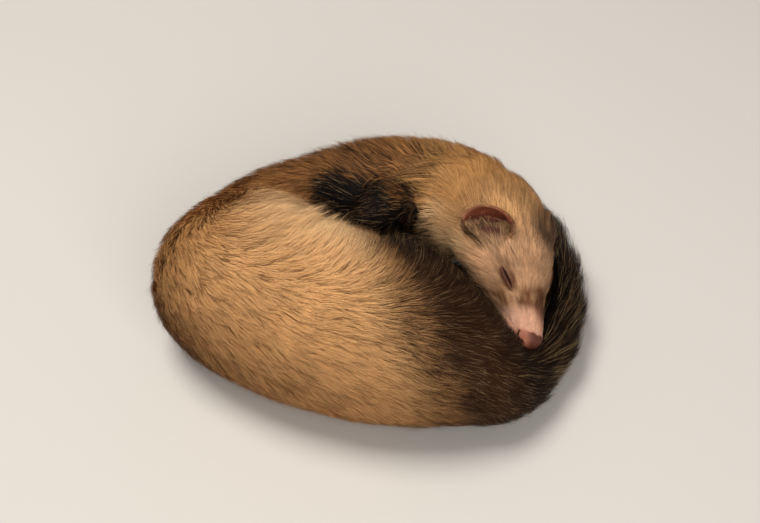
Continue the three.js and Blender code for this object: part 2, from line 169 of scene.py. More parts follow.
# Colours, as seen in daylight, 0 to 255 for red, green and blue.
COLOURS = {
    "cream": (224, 175, 118),
    "pale": (240, 200, 150),
    "gold": (194, 144, 88),
    "tan": (172, 120, 70),
    "brown": (104, 66, 38),
    "umber": (70, 44, 26),
    "dark": (30, 18, 11),
    "black": (13, 8, 5),
    "strand": (164, 136, 98),
    "face": (212, 168, 128),
    "muzzle": (202, 162, 136),
    "mask": (112, 68, 38),
    "grey": (104, 74, 54),
    "pink": (200, 142, 120),
    "nose": (92, 38, 28),
    "nose_side": (184, 120, 96),
    "nose_top": (84, 42, 24),
    "lid": (96, 58, 46),
    "lid_edge": (94, 58, 40),
    "slit": (20, 10, 8),
    "ear": (132, 66, 44),
    "ear_rim": (184, 120, 92),
    "ear_hollow_shade": (74, 32, 22),
    "claw": (84, 60, 42),
    "claw_light": (140, 108, 80),
    "lid_line": (26, 14, 10),
    "lid_line_light": (52, 30, 22),
    "whisker": (60, 42, 32),
    "whisker_light": (120, 92, 72),
}
FLOOR_SHADES = ((0.62, 0.6, 0.57), (0.68, 0.66, 0.63))


def linear(rgb):
    c = np.asarray(rgb, float) / 255
    return np.where(c <= 0.04045, c / 12.92, ((c + 0.055) / 1.055) ** 2.4)


COLOURS = {name: linear(rgb) for name, rgb in COLOURS.items()}

# Small helpers


def unit(v):
    return v / np.maximum(np.linalg.norm(v, axis=-1, keepdims=True), 1e-9)


def dot(a, b):
    return (a * b).sum(-1, keepdims=True)


def capped(x):
    return np.clip(x, 0, 1)


def smooth(low, high, x):
    """Rises from 0 at `low` to 1 at `high`."""
    s = capped((x - low) / (high - low))
    return s * s * (3 - 2 * s)


def bump(x, middle, half):
    """1 at the middle, falling away on both sides."""
    return np.exp(-(((x - middle) / half) ** 2))


def mix(a, b, share):
    share = np.asarray(share)[..., None]
    return a * (1 - share) + b * share


def paint(rgb, name, share):
    """The colours with a named colour laid over them by a share."""
    return mix(rgb, COLOURS[name], share)


def between(knots, rows, at):
    """The rows' values along a smooth curve through the knots."""
    knots = np.asarray(knots, float)
    last = len(knots) - 1
    i = np.clip(np.searchsorted(knots, at, side="left") - 1, 0, last - 1)
    span = (knots[i + 1] - knots[i])[..., None]
    s = (at - knots[i])[..., None] / span
    k = np.arange(last + 1)
    after, before = np.minimum(k + 1, last), np.maximum(k - 1, 0)
    slope = (rows[after] - rows[before]) / (knots[after] - knots[before])[:, None]
    bend = s * s * (3 - 2 * s)
    ends = rows[i] * (1 - bend) + rows[i + 1] * bend
    return ends + span * (slope[i] * s * (1 - s) ** 2 - slope[i + 1] * s * s * (1 - s))


def waves(points, size, seed, count=10):
    """Soft noise from -1 to 1, with features about `size` across."""
    r = np.random.default_rng(seed)
    ways = unit(r.normal(size=(count, 3))) * r.uniform(0.6, 1.6, (count, 1))
    phase = r.uniform(0, 2 * math.pi, count)
    total = np.sin(points @ ways.T * (math.pi / size) + phase).sum(1)
    return np.clip(total / math.sqrt(count) / 1.2, -1, 1)


def bow(x, full):
    """Makes a circle's sine or cosine fuller, towards a rounded box."""
    return np.sign(x) * np.abs(x) ** (2 / full)


def rings(centre, across, rise, full, angles):
    c = bow(np.cos(angles)[None], full[:, None])[..., None]
    s = bow(np.sin(angles)[None], full[:, None])[..., None]
    return centre[:, None] + across[:, None] * c + rise[:, None] * s


def tube(centre, across, rise, full, sides, domes):
    """A closed surface through the given sections, with a dome on each end."""
    angles = np.arange(sides) * (2 * math.pi / sides)
    body = rings(centre, across, rise, full, angles)
    reach = np.array([0.22, 0.42, 0.6, 0.75, 0.87, 0.95, 0.99])
    caps, poles = [], []
    for end, near, height in ((0, 1, domes[0]), (-1, -2, domes[1])):
        out = unit(np.cross(across[end], rise[end]))
        if out @ (centre[end] - centre[near]) < 0:
            out = -out
        scale = np.sqrt(1 - reach**2)[:, None, None]
        cap = centre[end] + (body[end] - centre[end])[None] * scale + (out * height) * reach[:, None, None]
        caps.append(cap)
        poles.append(centre[end] + out * height)
    grid = np.concatenate([caps[0][::-1], body, caps[1]])
    count = len(grid)
    points = np.concatenate([poles[0][None], grid.reshape(-1, 3), poles[1][None]])
    r, s = np.meshgrid(np.arange(count - 1), np.arange(sides), indexing="ij")
    a = 1 + r * sides + s
    b = 1 + r * sides + (s + 1) % sides
    c, d = b + sides, a + sides
    quads = np.concatenate([
        np.stack([a, b, c], -1).reshape(-1, 3), np.stack([a, c, d], -1).reshape(-1, 3)
    ])
    s = np.arange(sides)
    first = np.stack([np.zeros_like(s), 1 + (s + 1) % sides, 1 + s], -1)
    top = 1 + (count - 1) * sides
    last = np.stack([np.full_like(s, len(points) - 1), top + s, top + (s + 1) % sides], -1)
    faces = np.concatenate([quads, first, last])
    p = points[faces]
    if np.einsum("ij,ij->i", p[:, 0], np.cross(p[:, 1], p[:, 2])).sum() < 0:
        faces = faces[:, ::-1]
    return points, faces


def together(parts):
    """Several surfaces as one list of points and one of triangles."""
    points, faces, start = [], [], 0
    for p, f in parts:
        points.append(p)
        faces.append(f + start)
        start += len(p)
    return np.concatenate(points), np.concatenate(faces)


def make_mesh(name, points, faces):
    """An object from points in source millimetres and triangles."""
    mesh = bpy.data.meshes.new(name)
    mesh.vertices.add(len(points))
    mesh.vertices.foreach_set("co", ((points - ORIGIN) * 0.001).astype(np.float32).ravel())
    mesh.loops.add(faces.size)
    mesh.loops.foreach_set("vertex_index", np.ascontiguousarray(faces, dtype=np.int32).ravel())
    mesh.polygons.add(len(faces))
    mesh.polygons.foreach_set("loop_start", np.arange(0, faces.size, 3, dtype=np.int32))
    mesh.update(calc_edges=True)
    mesh.polygons.foreach_set("use_smooth", np.ones(len(faces), bool))
    made = bpy.data.objects.new(name, mesh)
    bpy.context.scene.collection.objects.link(made)
    return made


def listed(rows, field, size, kind):
    """A mesh's own values as an array."""
    values = np.empty(len(rows) * size, kind)
    rows.foreach_get(field, values)
    return values.reshape(-1, size)


def points_of(made):
    return listed(made.data.vertices, "co", 3, np.float32).astype(float) * 1000 + ORIGIN


def normals_of(made):
    return listed(made.data.vertices, "normal", 3, np.float32).astype(float)


def edges_of(made):
    return listed(made.data.edges, "vertices", 2, np.int32)


def triangles_of(made):
    return listed(made.data.polygons, "vertices", 3, np.int32)


def move_points(made, points):
    made.data.vertices.foreach_set("co", ((points - ORIGIN) * 0.001).astype(np.float32).ravel())
    made.data.update()


def rework(made, work):
    """Changes a mesh by bmesh operations."""
    bm = bmesh.new()
    bm.from_mesh(made.data)
    work(bm)
    bm.to_mesh(made.data)
    bm.free()
    made.data.update()


def triangulate(bm):
    bmesh.ops.triangulate(bm, faces=bm.faces[:])


def face_outwards(bm):
    bmesh.ops.recalc_face_normals(bm, faces=bm.faces[:])


def colour_points(made, colours, name="tint"):
    rgba = np.ones((len(colours), 4), np.float32)
    rgba[:, :3] = colours
    attribute = made.data.attributes.new(name, "FLOAT_COLOR", "POINT")
    attribute.data.foreach_set("color", rgba.ravel())


# The trunk, head and legs as sections


def trunk_sections(k, inset):
    """The trunk's sections at places k along it, in by the coat's depth or out to its tips."""
    ix, iy, ox, oy, low, high, full, depth = between(np.arange(TRUNK_LAST + 1), TRUNK, k).T
    inner, outer = np.stack([ix, iy], -1), np.stack([ox, oy], -1)
    way = unit(outer - inner)
    if inset:
        inner = inner + way * (depth * 0.75)[:, None]
        outer = outer - way * depth[:, None]
        high = high - depth
        low = np.maximum(low + UNDER_GAP, np.where(low > 2, low + depth * 0.8, -9))
    zero = np.zeros(len(k))
    centre = np.concatenate([(inner + outer) / 2, ((low + high) / 2)[:, None]], 1)
    across = np.concatenate([(outer - inner) / 2, zero[:, None]], 1)
    rise = np.stack([zero, zero, (high - low) / 2], -1)
    return centre, across, rise, full


def head_axes():
    """The head's own directions: forward, to its left and up through its crown."""
    heading, dip, roll = (math.radians(x) for x in (HEADING, DIP, ROLL))
    level = np.array([-math.sin(heading), math.cos(heading), 0])
    forward = np.array([level[1] * math.cos(dip), -level[0] * math.cos(dip), -math.sin(dip)])
    above = np.cross(forward, level)
    crown = above * math.cos(roll) + level * math.sin(roll)
    left = np.cross(crown, forward)
    return np.stack([forward, left, crown])


HEAD_AXES = head_axes()


def to_head(points):
    return (points - NOSE) @ HEAD_AXES.T


def from_head(local):
    return NOSE + local @ HEAD_AXES


def head_sections(back, inset):
    width, top, bottom, full, depth = between(HEAD_ROWS[:, 0], HEAD_ROWS[:, 1:], back).T
    if inset:
        width, top, bottom = width - depth, top - depth * 0.9, bottom + depth * 0.9
    zero = np.zeros(len(back))
    centre = np.stack([-back, zero, (top + bottom) / 2], -1)
    across = np.stack([zero, width, zero], -1)
    rise = np.stack([zero, zero, (top - bottom) / 2], -1)
    return centre, across, rise, full


def leg_sections(path, steps, inset):
    """A leg's sections along its joints, and the way it runs at each."""
    rows = np.array(path, float)
    knots = np.arange(len(rows))
    k = np.linspace(0, len(rows) - 1, steps)
    at = between(knots, rows, k)
    ahead = between(knots, rows, np.minimum(k + 0.1, len(rows) - 1))[:, :3]
    behind = between(knots, rows, np.maximum(k - 0.1, 0))[:, :3]
    along = unit(ahead - behind)
    across = unit(np.stack([-along[:, 1], along[:, 0], np.zeros(len(k))], -1))
    rise = np.cross(along, across)
    radius = np.maximum(at[:, 3:4] - inset, LEAST_LEG)
    height = np.maximum(at[:, 4:5] - inset, LEAST_LEG)
    return at[:, :3], across * radius, rise * height, np.full(len(k), 2.0), along


def toe_paths(paw):
    """Each toe's middle and end, its radius, and the points of its claw."""
    tip, before = np.array(paw[-1][:3], float), np.array(paw[-2][:3], float)
    along = unit(tip - before)
    across = unit(np.array([-along[1], along[0], 0]))
    found = []
    for side, reach, radius in TOES:
        ends = []
        for ahead, low in ((-3, 0.6), (reach, 1.2)):
            p = tip + along * ahead + across * side * (1 + ahead * 0.02)
            p[2] = max(p[2] - low, LEG_FLOOR + radius)
            ends.append(p)
        claw = []
        for share in np.linspace(0, 1, CLAW_STEPS):
            step = CLAW_LENGTH * share + radius - CLAW_SUNK
            claw.append(ends[1] + [along[0] * step, along[1] * step, 0.3 - CLAW_DROOP * share**2])
        found.append((ends, radius, np.array(claw)))
    return found


# Where each part of the surface is: places on the skin, the coat's outside over them and the fur's lie

samples = {"skin": [], "coat": [], "lie": [], "region": [], "along": [], "angle": []}
HEAD, BODY, LEG = 0, 1, 2


def add_samples(skin, coat, lie, region, along, angle):
    shape = skin.shape[:2]
    samples["skin"].append(skin.reshape(-1, 3))
    samples["coat"].append(coat.reshape(-1, 3))
    samples["lie"].append(unit(lie).reshape(-1, 3))
    samples["region"].append(np.full(shape[0] * shape[1], region))
    samples["along"].append(np.broadcast_to(along[:, None], shape).ravel())
    samples["angle"].append(np.broadcast_to(angle[None], shape).ravel())


def floored(points, least):
    """The points with none lower than `least`."""
    out = points.copy()
    out[..., 2] = np.maximum(out[..., 2], least)
    return out


parts = []
k = np.arange(0, TRUNK_LAST + 1e-6, TRUNK_STEP)
angles = np.arange(TRUNK_SIDES) * (2 * math.pi / TRUNK_SIDES)
body_in = trunk_sections(k, True)
points, faces = tube(*body_in, TRUNK_SIDES, TRUNK_DOMES)
parts.append((floored(points, SKIN_FLOOR), faces))
grid = rings(*body_in, angles)
add_samples(
    floored(grid, SKIN_FLOOR), floored(rings(*trunk_sections(k, False), angles), COAT_FLOOR),
    np.gradient(grid, axis=0), BODY, k, angles,
)

back = HEAD_LENGTH * np.linspace(0, 1, HEAD_STEPS) ** 1.2
centre, across, rise, full = head_sections(back, True)
head_in = from_head(centre), across @ HEAD_AXES, rise @ HEAD_AXES, full
head_shape = tube(*head_in, HEAD_SIDES, HEAD_DOMES)
parts.append(head_shape)
coat_grid = from_head(rings(*head_sections(back, False), angles))
grid = rings(*head_in, angles)
add_samples(grid, coat_grid, np.gradient(grid, axis=0), HEAD, back, angles)

claws = []
for number, lengths in enumerate(LEGS.values()):
    for part, path in enumerate(lengths):
        *leg_in, along = leg_sections(path, LEG_STEPS, LEG_COAT[part])
        points, faces = tube(*leg_in, LEG_SIDES, LEG_DOMES[part])
        parts.append((floored(points, LEG_FLOOR), faces))
        leg_angles = np.arange(LEG_STEPS) * (2 * math.pi / LEG_STEPS)
        grid = floored(rings(*leg_in, leg_angles), LEG_FLOOR)
        coat_grid = floored(rings(*leg_sections(path, LEG_STEPS, 0)[:4], leg_angles), COAT_FLOOR)
        lie = np.broadcast_to(along[:, None], grid.shape)
        place = number * 3 + part + np.linspace(0, 0.99, LEG_STEPS)
        add_samples(grid, coat_grid, lie, LEG, place, leg_angles)
    for ends, radius, claw in toe_paths(lengths[2]):
        middle = (ends[0] + ends[1]) / 2 + [0, 0, 0.2]
        path = [[*ends[0], radius, radius], [*middle, radius, radius]]
        path.append([*ends[1], radius * 0.95, radius * 0.9])
        parts.append(tube(*leg_sections(path, TOE_STEPS, TOE_COAT)[:4], TOE_SIDES, TOE_DOMES))
        claws.append(claw)

samples = {key: np.concatenate(value) for key, value in samples.items()}

# One skin, joined from the parts at an even grain


def select_only(made):
    """Makes one object the only one that Blender's operators work on."""
    for o in bpy.context.selected_objects:
        o.select_set(False)
    made.select_set(True)
    bpy.context.view_layer.objects.active = made


SKIN_GRAIN, SKIN_SOFTENING = 0.00135, 6
skin = make_mesh("skin", *together(parts))
select_only(skin)
skin.data.remesh_voxel_size = SKIN_GRAIN
skin.data.remesh_voxel_adaptivity = 0
bpy.ops.object.voxel_remesh()


def spread(values, edges, rounds, share=0.5, keep=None):
    """Averages values along edges, for a smoother field."""
    count = np.bincount(edges.ravel(), minlength=len(values)).astype(float)[:, None]
    for _ in range(rounds):
        total = np.zeros_like(values)
        for c in range(values.shape[1]):
            total[:, c] = np.bincount(edges[:, 0], values[edges[:, 1], c], len(values))
            total[:, c] += np.bincount(edges[:, 1], values[edges[:, 0], c], len(values))
        step = (total / np.maximum(count, 1) - values) * share
        values = values + (step if keep is None else step * keep)
    return values


edges = edges_of(skin)
move_points(skin, spread(points_of(skin), edges, SKIN_SOFTENING))


def polyline_near(p, line):
    """Distance to a line of points, and the share along it."""
    best = np.full(len(p), 1e9)
    share = np.zeros(len(p))
    for i in range(len(line) - 1):
        a, b = line[i], line[i + 1]
        t = capped(((p - a) @ (b - a)) / ((b - a) @ (b - a)))
        d = np.linalg.norm(p - (a + t[:, None] * (b - a)), axis=1)
        closer = d < best
        best[closer] = d[closer]
        share[closer] = (i + t[closer]) / (len(line) - 1)
    return best, share


def face_marks(local):
    """Where a point lies among the face's features, on its own side of the head."""
    x, y, z = local.T
    side = np.abs(y)
    own = np.stack([x, side, z], -1)
    ex = (x + EYE_BACK) / EYE_HALF
    from_slit = LID_FACING[1] * (z - EYE_UP) - LID_FACING[0] * (side - EYE_SIDE)
    from_slit = from_slit - LID_SLANT * (x + EYE_BACK)
    from_slit = from_slit + 0.12 * (1 - ex**2)
    beside = smooth(7.0, 9.0, side)
    eye = capped(1 - (ex / 1.15) ** 2 - (from_slit / 3.0) ** 2) * beside
    thick = 0.08 + 0.24 * capped(1 - ex**2)
    slit = np.exp(-((from_slit / thick) ** 2)) * smooth(1.0, 0.6, np.abs(ex)) * beside
    lid = smooth(1.0, 0.5, ex**2 + ((from_slit + 0.55) / 1.7) ** 2) * beside
    rims = np.exp(-(((np.abs(from_slit) - 0.7) / 0.45) ** 2)) * smooth(1.05, 0.8, np.abs(ex)) * beside
    d, share = polyline_near(own, MOUTH)
    mouth = np.exp(-((d / 0.6) ** 2)) * smooth(1.0, 0.9, share)
    lip = np.exp(-(((d - 1.1) / 0.8) ** 2)) * smooth(1.0, 0.85, share)
    d, share = polyline_near(own, NOSTRIL)
    nostril = np.exp(-((d / (0.95 - 0.5 * share)) ** 2))
    pad = smooth(-2.7, -1.7, x + 0.55 * np.clip(side - 1.5, 0, 5) - 0.16 * y + 0.2 * np.sin(2.1 * y))
    pad = pad * smooth(-3.8, -2.8, z)
    philtrum = np.exp(-((y / 0.25) ** 2)) * smooth(-1.8, 0.2, x) * smooth(2.2, 0.4, z)
    return SimpleNamespace(
        eye=eye, slit=slit, rims=rims, lid=lid, mouth=mouth, lip=lip, nostril=nostril, pad=pad,
        philtrum=philtrum, from_slit=from_slit, along_eye=ex,
    )


# The face, at a finer grain from its front back to FACE_BACK
FACE_FRONT, FACE_BACK, FACE_BLEND = 4.0, 37.0, 43.0
NEAR_HEAD = 2.5
NOSE_ROUND, NOSE_LEAD, NOSE_HALF = 4.5, 1.3, 5.0
head_bvh = BVHTree.FromPolygons(head_shape[0].tolist(), head_shape[1].tolist())


def near_head(points, local, reach):
    """Each point's closest place on the head's own surface, and how close it is."""
    close = points.copy()
    far = np.full(len(points), 1e9)
    for i in np.nonzero((local[:, 0] > -FACE_BLEND - 2) & (local[:, 0] < 6))[0]:
        hit = head_bvh.find_nearest(points[i], reach)
        if hit[0] is not None:
            close[i] = hit[0]
            far[i] = hit[3]
    return close, far


def divide(bm, wanted, cuts):
    """Divides the edges whose two ends are both wanted."""
    bm.verts.ensure_lookup_table()
    chosen = [e for e in bm.edges if wanted[e.verts[0].index] and wanted[e.verts[1].index]]
    bmesh.ops.subdivide_edges(bm, edges=chosen, cuts=cuts, use_grid_fill=True)


def refine_face(bm):
    """A finer grain on the face, and finer again at the eyes, the nose and the mouth."""
    local = to_head(points_of(skin))
    _, far = near_head(points_of(skin), local, NEAR_HEAD)
    divide(bm, (far < 1.6) & (local[:, 0] > -FACE_BACK), 2)
    bm.verts.ensure_lookup_table()
    local = to_head(np.array([v.co for v in bm.verts]) * 1000 + ORIGIN)
    marks = face_marks(local)
    finer = (np.abs(marks.from_slit) < 2.4) & (np.abs(marks.along_eye) < 1.35) & (local[:, 2] > 0)
    finer |= (local[:, 0] > -5.2) | (marks.mouth + marks.lip > 0.45)
    divide(bm, finer & (local[:, 0] > -FACE_BACK) & (local[:, 0] < FACE_FRONT), 1)
    triangulate(bm)


rework(skin, refine_face)
points = points_of(skin)
local = to_head(points)
close, far = near_head(points, local, NEAR_HEAD)
face_hold = smooth(FACE_BLEND, FACE_BACK, -local[:, 0]) * smooth(2.2, 1.4, far)
points = points + (close - points) * face_hold[:, None]

# The tip of the nose, rounded in towards its front
local = to_head(points)
tip = np.clip((local[:, 0] + NOSE_ROUND) / (NOSE_ROUND + NOSE_LEAD), 0, 0.98) * face_hold
wide = np.linalg.norm(local[:, 1:] / [1.0, 1.05], axis=1)
room = NOSE_HALF * np.sqrt(1 - tip**2)
narrowed = mix(np.ones((len(tip), 1)), (room / np.maximum(wide, 0.1))[:, None], tip**0.5)
local[:, 1:] *= np.minimum(1, narrowed)
points = from_head(local)
move_points(skin, points)
edges = edges_of(skin)

# The forms of the face, raised and sunk along the skin's normals
normals = normals_of(skin)
local = to_head(points)
marks = face_marks(local)
x, y, z = local.T
side = np.abs(y)
whisker_pad = bump(x, -9.5, 5.5) * bump(side, 6.5, 3.4) * bump(z, -2.4, 4.2)
wing = bump(x, -2.6, 1.8) * bump(side, 3.6, 1.6) * bump(z, -2.6, 1.4)
bridge = bump(x, -9, 6) * bump(side, 3.6, 1.4) * smooth(3, 5.5, z)
brow = bump(x, -27, 6) * bump(side, 8.6, 2.6) * bump(z, 10.5, 2.2)
stop = bump(x, -20, 5) * bump(side, 0, 5) * smooth(2, 6, z)
cheek = bump(x, -30, 7) * bump(z, -4, 4) * smooth(8, 12, side)
lift = 1.3 * marks.eye + 0.4 * marks.rims - 0.8 * marks.slit
lift += 0.35 * marks.lip - 0.75 * marks.mouth - 1.2 * marks.nostril
lift += 0.3 * marks.pad - 0.3 * marks.philtrum
lift += 2.1 * whisker_pad + 0.5 * brow - 0.4 * stop + 0.4 * cheek + 0.45 * wing - 0.18 * bridge
lift += 0.05 * waves(local, 1.6, 3) + 0.12 * waves(local, 5, 4)
fine = smooth(-FACE_BLEND, -FACE_BACK, x) * (face_hold > 0.05)
points = points + normals * (lift * fine)[:, None]
move_points(skin, points)
move_points(skin, spread(points, edges, 1, 0.4, (fine * 0.6 + 0.4)[:, None]))


def ear_axes(ear):
    """An ear's own directions in head terms: out of its opening, along its base and up."""
    stands, base = unit(ear.stands), unit(ear.base)
    return np.stack([unit(np.cross(base, stands) * -ear.side), base, stands])


def ear_local(ear, points):
    return (to_head(points) - ear.root) @ ear_axes(ear).T


def ear_hollow(points):
    """How far a place on the head lies in the opening of the right ear, and how high in it."""
    ear = EARS["right"]
    ahead, across, high = (ear_local(ear, points) / [1, *ear.cup[1:]]).T
    inside = smooth(1.05, 0.75, across**2 + high**2) * smooth(-2.5, -1, ahead) * smooth(10, 7, ahead)
    return inside * smooth(-0.8, -0.4, high), high


# What lies where on the skin


def nearest_rows(rows, points):
    """For each point, the nearest of the chosen rows of the samples."""
    tree = KDTree(len(rows))
    for i, row in enumerate(rows):
        tree.insert(samples["skin"][row], i)
    tree.balance()
    return rows[[tree.find(p)[1] for p in points]]


points, normals = points_of(skin), normals_of(skin)
nearest = nearest_rows(np.arange(len(samples["skin"])), points)
region, along, angle = (samples[key][nearest] for key in ("region", "along", "angle"))
coat_out = samples["coat"][nearest] - samples["skin"][nearest]

# The shoulder and the thigh take the trunk's lie and colours
upper_leg = (region == LEG) & ((along < 1.5) | ((along > 5.9) & (along < 7.3)))
on_trunk = nearest.copy()
on_trunk[upper_leg] = nearest_rows(np.nonzero(samples["region"] == BODY)[0], points[upper_leg])
depth = np.clip(dot(coat_out, normals)[:, 0], 0.05, 9)
depth = spread(depth[:, None], edges, 8)[:, 0]
lie = spread(samples["lie"][on_trunk], edges, 14)
lie = unit(lie - normals * dot(lie, normals))
weight_head = spread((region == HEAD).astype(float)[:, None], edges, 10)[:, 0]
weight_leg = spread(((region == LEG) & ~upper_leg).astype(float)[:, None], edges, 10)[:, 0]
local = to_head(points)

# How open each place is to the air, from a few rays cast off the skin
RAYS = unit(np.array([[0, 0, 1], [1, 0, 0.6], [-0.5, 0.87, 0.6], [-0.5, -0.87, 0.6]], float))
RAY_START, RAY_REACH = 1.2, 45
skin_bvh = BVHTree.FromPolygons(points.tolist(), [list(p.vertices) for p in skin.data.polygons])
openness = np.zeros(len(points))
aside = unit(np.cross(normals, [0.3, 0.2, 0.93]))
start = points + normals * RAY_START
for ray in RAYS:
    cast = unit(aside * ray[0] + np.cross(normals, aside) * ray[1] + normals * ray[2])
    free = [skin_bvh.ray_cast(Vector(s), Vector(c), RAY_REACH)[0] is None for s, c in zip(start, cast)]
    openness += np.array(free, float) / len(RAYS)
openness = spread(openness[:, None], edges, 5)[:, 0]

# Markings: the trunk's pale colours at places along it, and the rules that lay the others over them
BODY_STOPS = [(0, "gold"), (2, "gold"), (3, "tan"), (7, "tan"), (8, "gold"), (9, "cream"), (20, "cream")]


def body_colour(k, angle, points):
    """The pale and the dark colour of the body, the share of guard hairs, and how dark the coat is."""
    out, up = np.cos(angle), np.sin(angle)
    stops = np.array([s[0] for s in BODY_STOPS], float)
    table = np.array([COLOURS[s[1]] for s in BODY_STOPS])
    base = np.stack([np.interp(k, stops, table[:, c]) for c in range(3)], -1)
    inner_pale = smooth(0.3, -0.35, out) * smooth(6.2, 7.2, k) * smooth(11.6, 10.8, k)
    base = paint(base, "pale", 0.8 * inner_pale)
    # Pale on the inner side of the neck near the head: painted light, lifting the shade under the head and
    # the neck
    throat_painted_light = smooth(0.1, -0.5, out) * smooth(1.9, 1.1, k)
    base = paint(base, "pale", throat_painted_light * smooth(-0.6, -0.95, out))
    # Tan and brown on the lower outer side, towards the floor: partly the back's darker fur, partly
    # painted shade near the floor
    low = smooth(0.5, -0.5, up) * smooth(-0.2, 0.5, out)
    base = paint(base, "tan", 0.8 * low * (1 - 0.5 * smooth(9.0, 10.0, k)))
    base = paint(base, "tan", 0.5 * bump(k, 7.4, 1.3) * smooth(0.2, 0.8, out))
    base = paint(base, "brown", 0.75 * low * smooth(9.6, 8.2, k) * smooth(2, 4, k))
    wave = waves(points, 9, 11)
    far_back = smooth(7.0, 5.8, k) * smooth(3.0, 4.0, k)
    base = paint(base, "brown", 0.4 * far_back * (1 - 0.3 * wave))
    # Tan on the neck's outer side: painted shade along its outer edge
    nape_shade = smooth(3.4, 2.0, k) * smooth(0.25, 0.8, out)
    base = paint(base, "tan", 0.7 * nape_shade)
    edge = 11.45 + 1.05 * capped(out) * (1 - 0.35 * capped(up)) - 0.7 * capped(-out)
    soft = 0.55 + 0.35 * capped(out)
    rear = smooth(edge - soft, edge + soft, k + 0.25 * wave)
    base = paint(base, "brown", 0.6 * smooth(edge - 0.9, edge + 0.2, k))
    shoulder = smooth(0.15, -0.6, out + 0.25 * wave)
    shoulder *= smooth(0.4, 3.0, k - 2.0 * (out + 0.9) + 0.8 * wave)
    shoulder *= smooth(6.2, 5.2, k) * smooth(-0.9, -0.4, up)
    ridge = 0.4 * bump(k, 5.0, 1.0) * bump(out, 0.15, 0.5) * smooth(0, 0.5, up)
    ticked = 0.5 * bump(out, -0.1, 0.8) * smooth(-0.4, 0.2, up)
    ticked *= smooth(0.8, 2.0, k) * smooth(5.4, 4.4, k)
    dark = np.maximum(np.maximum(rear, ticked), np.maximum(shoulder, ridge) * 0.97)
    guard = 0.08 + 0.14 * smooth(6.8, 5.4, k) + 0.3 * smooth(edge - 1.3, edge, k)
    guard = guard + 0.14 * low + 0.14 * bump(k, 7.6, 1.5) * smooth(-0.2, 0.4, out) + 0.1 * far_back
    tail = smooth(15, 16.5, k)
    deep = paint(COLOURS["dark"], "black", capped(0.25 + 0.6 * tail + 0.4 * wave))
    hip = smooth(14.6, 13.4, k) * smooth(-0.4, 0.4, out) * smooth(11, 12, k)
    deep = paint(deep, "umber", 0.7 * hip)
    deep = paint(deep, "black", smooth(7, 6, k) * smooth(0.1, -0.3, out))
    return base, deep, np.clip(guard, 0, 0.8), dark


def head_colour(local):
    """The head's colour, the share of guard hairs, and how dark the coat is."""
    x, y, z = local.T
    side = np.abs(y)
    base = paint(COLOURS["face"], "cream", smooth(-34, -52, x) * 0.7)
    crown = bump(x, -42, 7.5) * smooth(-2, 6, y) * smooth(4, 11, z)
    base = paint(base, "grey", 0.9 * crown)
    mask = smooth(-22, -17.5, x + 0.1 * y) * smooth(-7.0, -11.5, x - 0.4 * y) * smooth(-8.5, -5.5, y)
    mask = mask * smooth(9, 4, y) * smooth(2, 5, z)
    blaze = smooth(-14, -11, x) * smooth(-3.5, -8, x) * bump(y, 2.6, 3.4) * smooth(2, 4, z)
    streak = 1 + 0.5 * waves(local * [0.35, 1, 1], 1.6, 14)
    base = paint(base, "mask", capped((0.9 * mask + 0.8 * blaze) * streak))
    below = bump(x, -19.5, 7.5) * smooth(6, 9, side) * bump(z, -2.0, 4.2)
    base = paint(base, "brown", capped(0.95 * below * streak))
    # Pale under the jaw and down the throat: painted light, lifting the shade the head casts there
    throat_painted_light = smooth(-34, -44, x) * smooth(0, -9, z)
    base = paint(base, "pale", throat_painted_light)
    around = bump(x, -EYE_BACK, 7.0) * smooth(8.5, 11, side) * bump(z, 7.5, 4.2)
    inner_corner = bump(x, -19.5, 4.5) * smooth(5, 8, side) * bump(z, 6.0, 4.0)
    base = paint(base, "mask", np.clip((0.75 * around + 0.5 * inner_corner) * streak, 0, 0.9))
    muzzle = smooth(-16.8, -11.3, x - 0.3 * np.clip(z, -8, 8) - 0.5 * np.clip(y + 4, 0, 6))
    muzzle = muzzle * (1 - 0.7 * capped(blaze))
    base = paint(base, "muzzle", 0.9 * muzzle)
    dark = 0.8 * crown
    guard = 0.14 + 0.3 * crown + 0.4 * below + 0.2 * mask + 0.12 * smooth(-30, -42, x)
    return base, guard * (1 - muzzle) * (1 - 0.8 * throat_painted_light), dark


of_trunk = (region == BODY) | upper_leg
lower_leg = np.where(along < 6, 4.4, 13.4)
body_k = np.where(of_trunk, samples["along"][on_trunk], np.where(region == HEAD, 0.0, lower_leg))
body_angle = np.where(of_trunk, samples["angle"][on_trunk], np.where(region == HEAD, 1.2, 2.4))
base_rgb, deep_rgb, guard, darkness = body_colour(body_k, body_angle, points)
coat_rgb = mix(base_rgb, deep_rgb, darkness)
head_rgb, head_guard, head_dark = head_colour(local)
head_rgb = paint(head_rgb, "gold", 0.85 * smooth(-44, -62, local[:, 0]))
head_share = smooth(0.25, 0.85, weight_head)
coat_rgb, base_rgb, deep_rgb = (mix(rgb, head_rgb, head_share) for rgb in (coat_rgb, base_rgb, deep_rgb))
guard = guard * (1 - head_share) + head_guard * head_share
darkness = darkness * (1 - head_share) + head_dark * head_share
leg_share = smooth(0.3, 0.7, weight_leg)
coat_rgb, base_rgb = (paint(rgb, "dark", leg_share) for rgb in (coat_rgb, base_rgb))
deep_rgb = paint(deep_rgb, "black", leg_share * 0.7)
darkness = np.maximum(darkness, leg_share)
coat_rgb = spread(coat_rgb, edges, 2)

# The opening of the right ear on the head, its skin and coat darker deeper in: painted shade in the hollow
hollow, hollow_high = ear_hollow(points)
hollow_shade_rgb = paint(COLOURS["ear"], "ear_hollow_shade", smooth(-1.2, -0.6, hollow_high))
deep_rgb = paint(deep_rgb, "umber", hollow)
darkness = darkness * (1 - hollow) + 0.8 * hollow
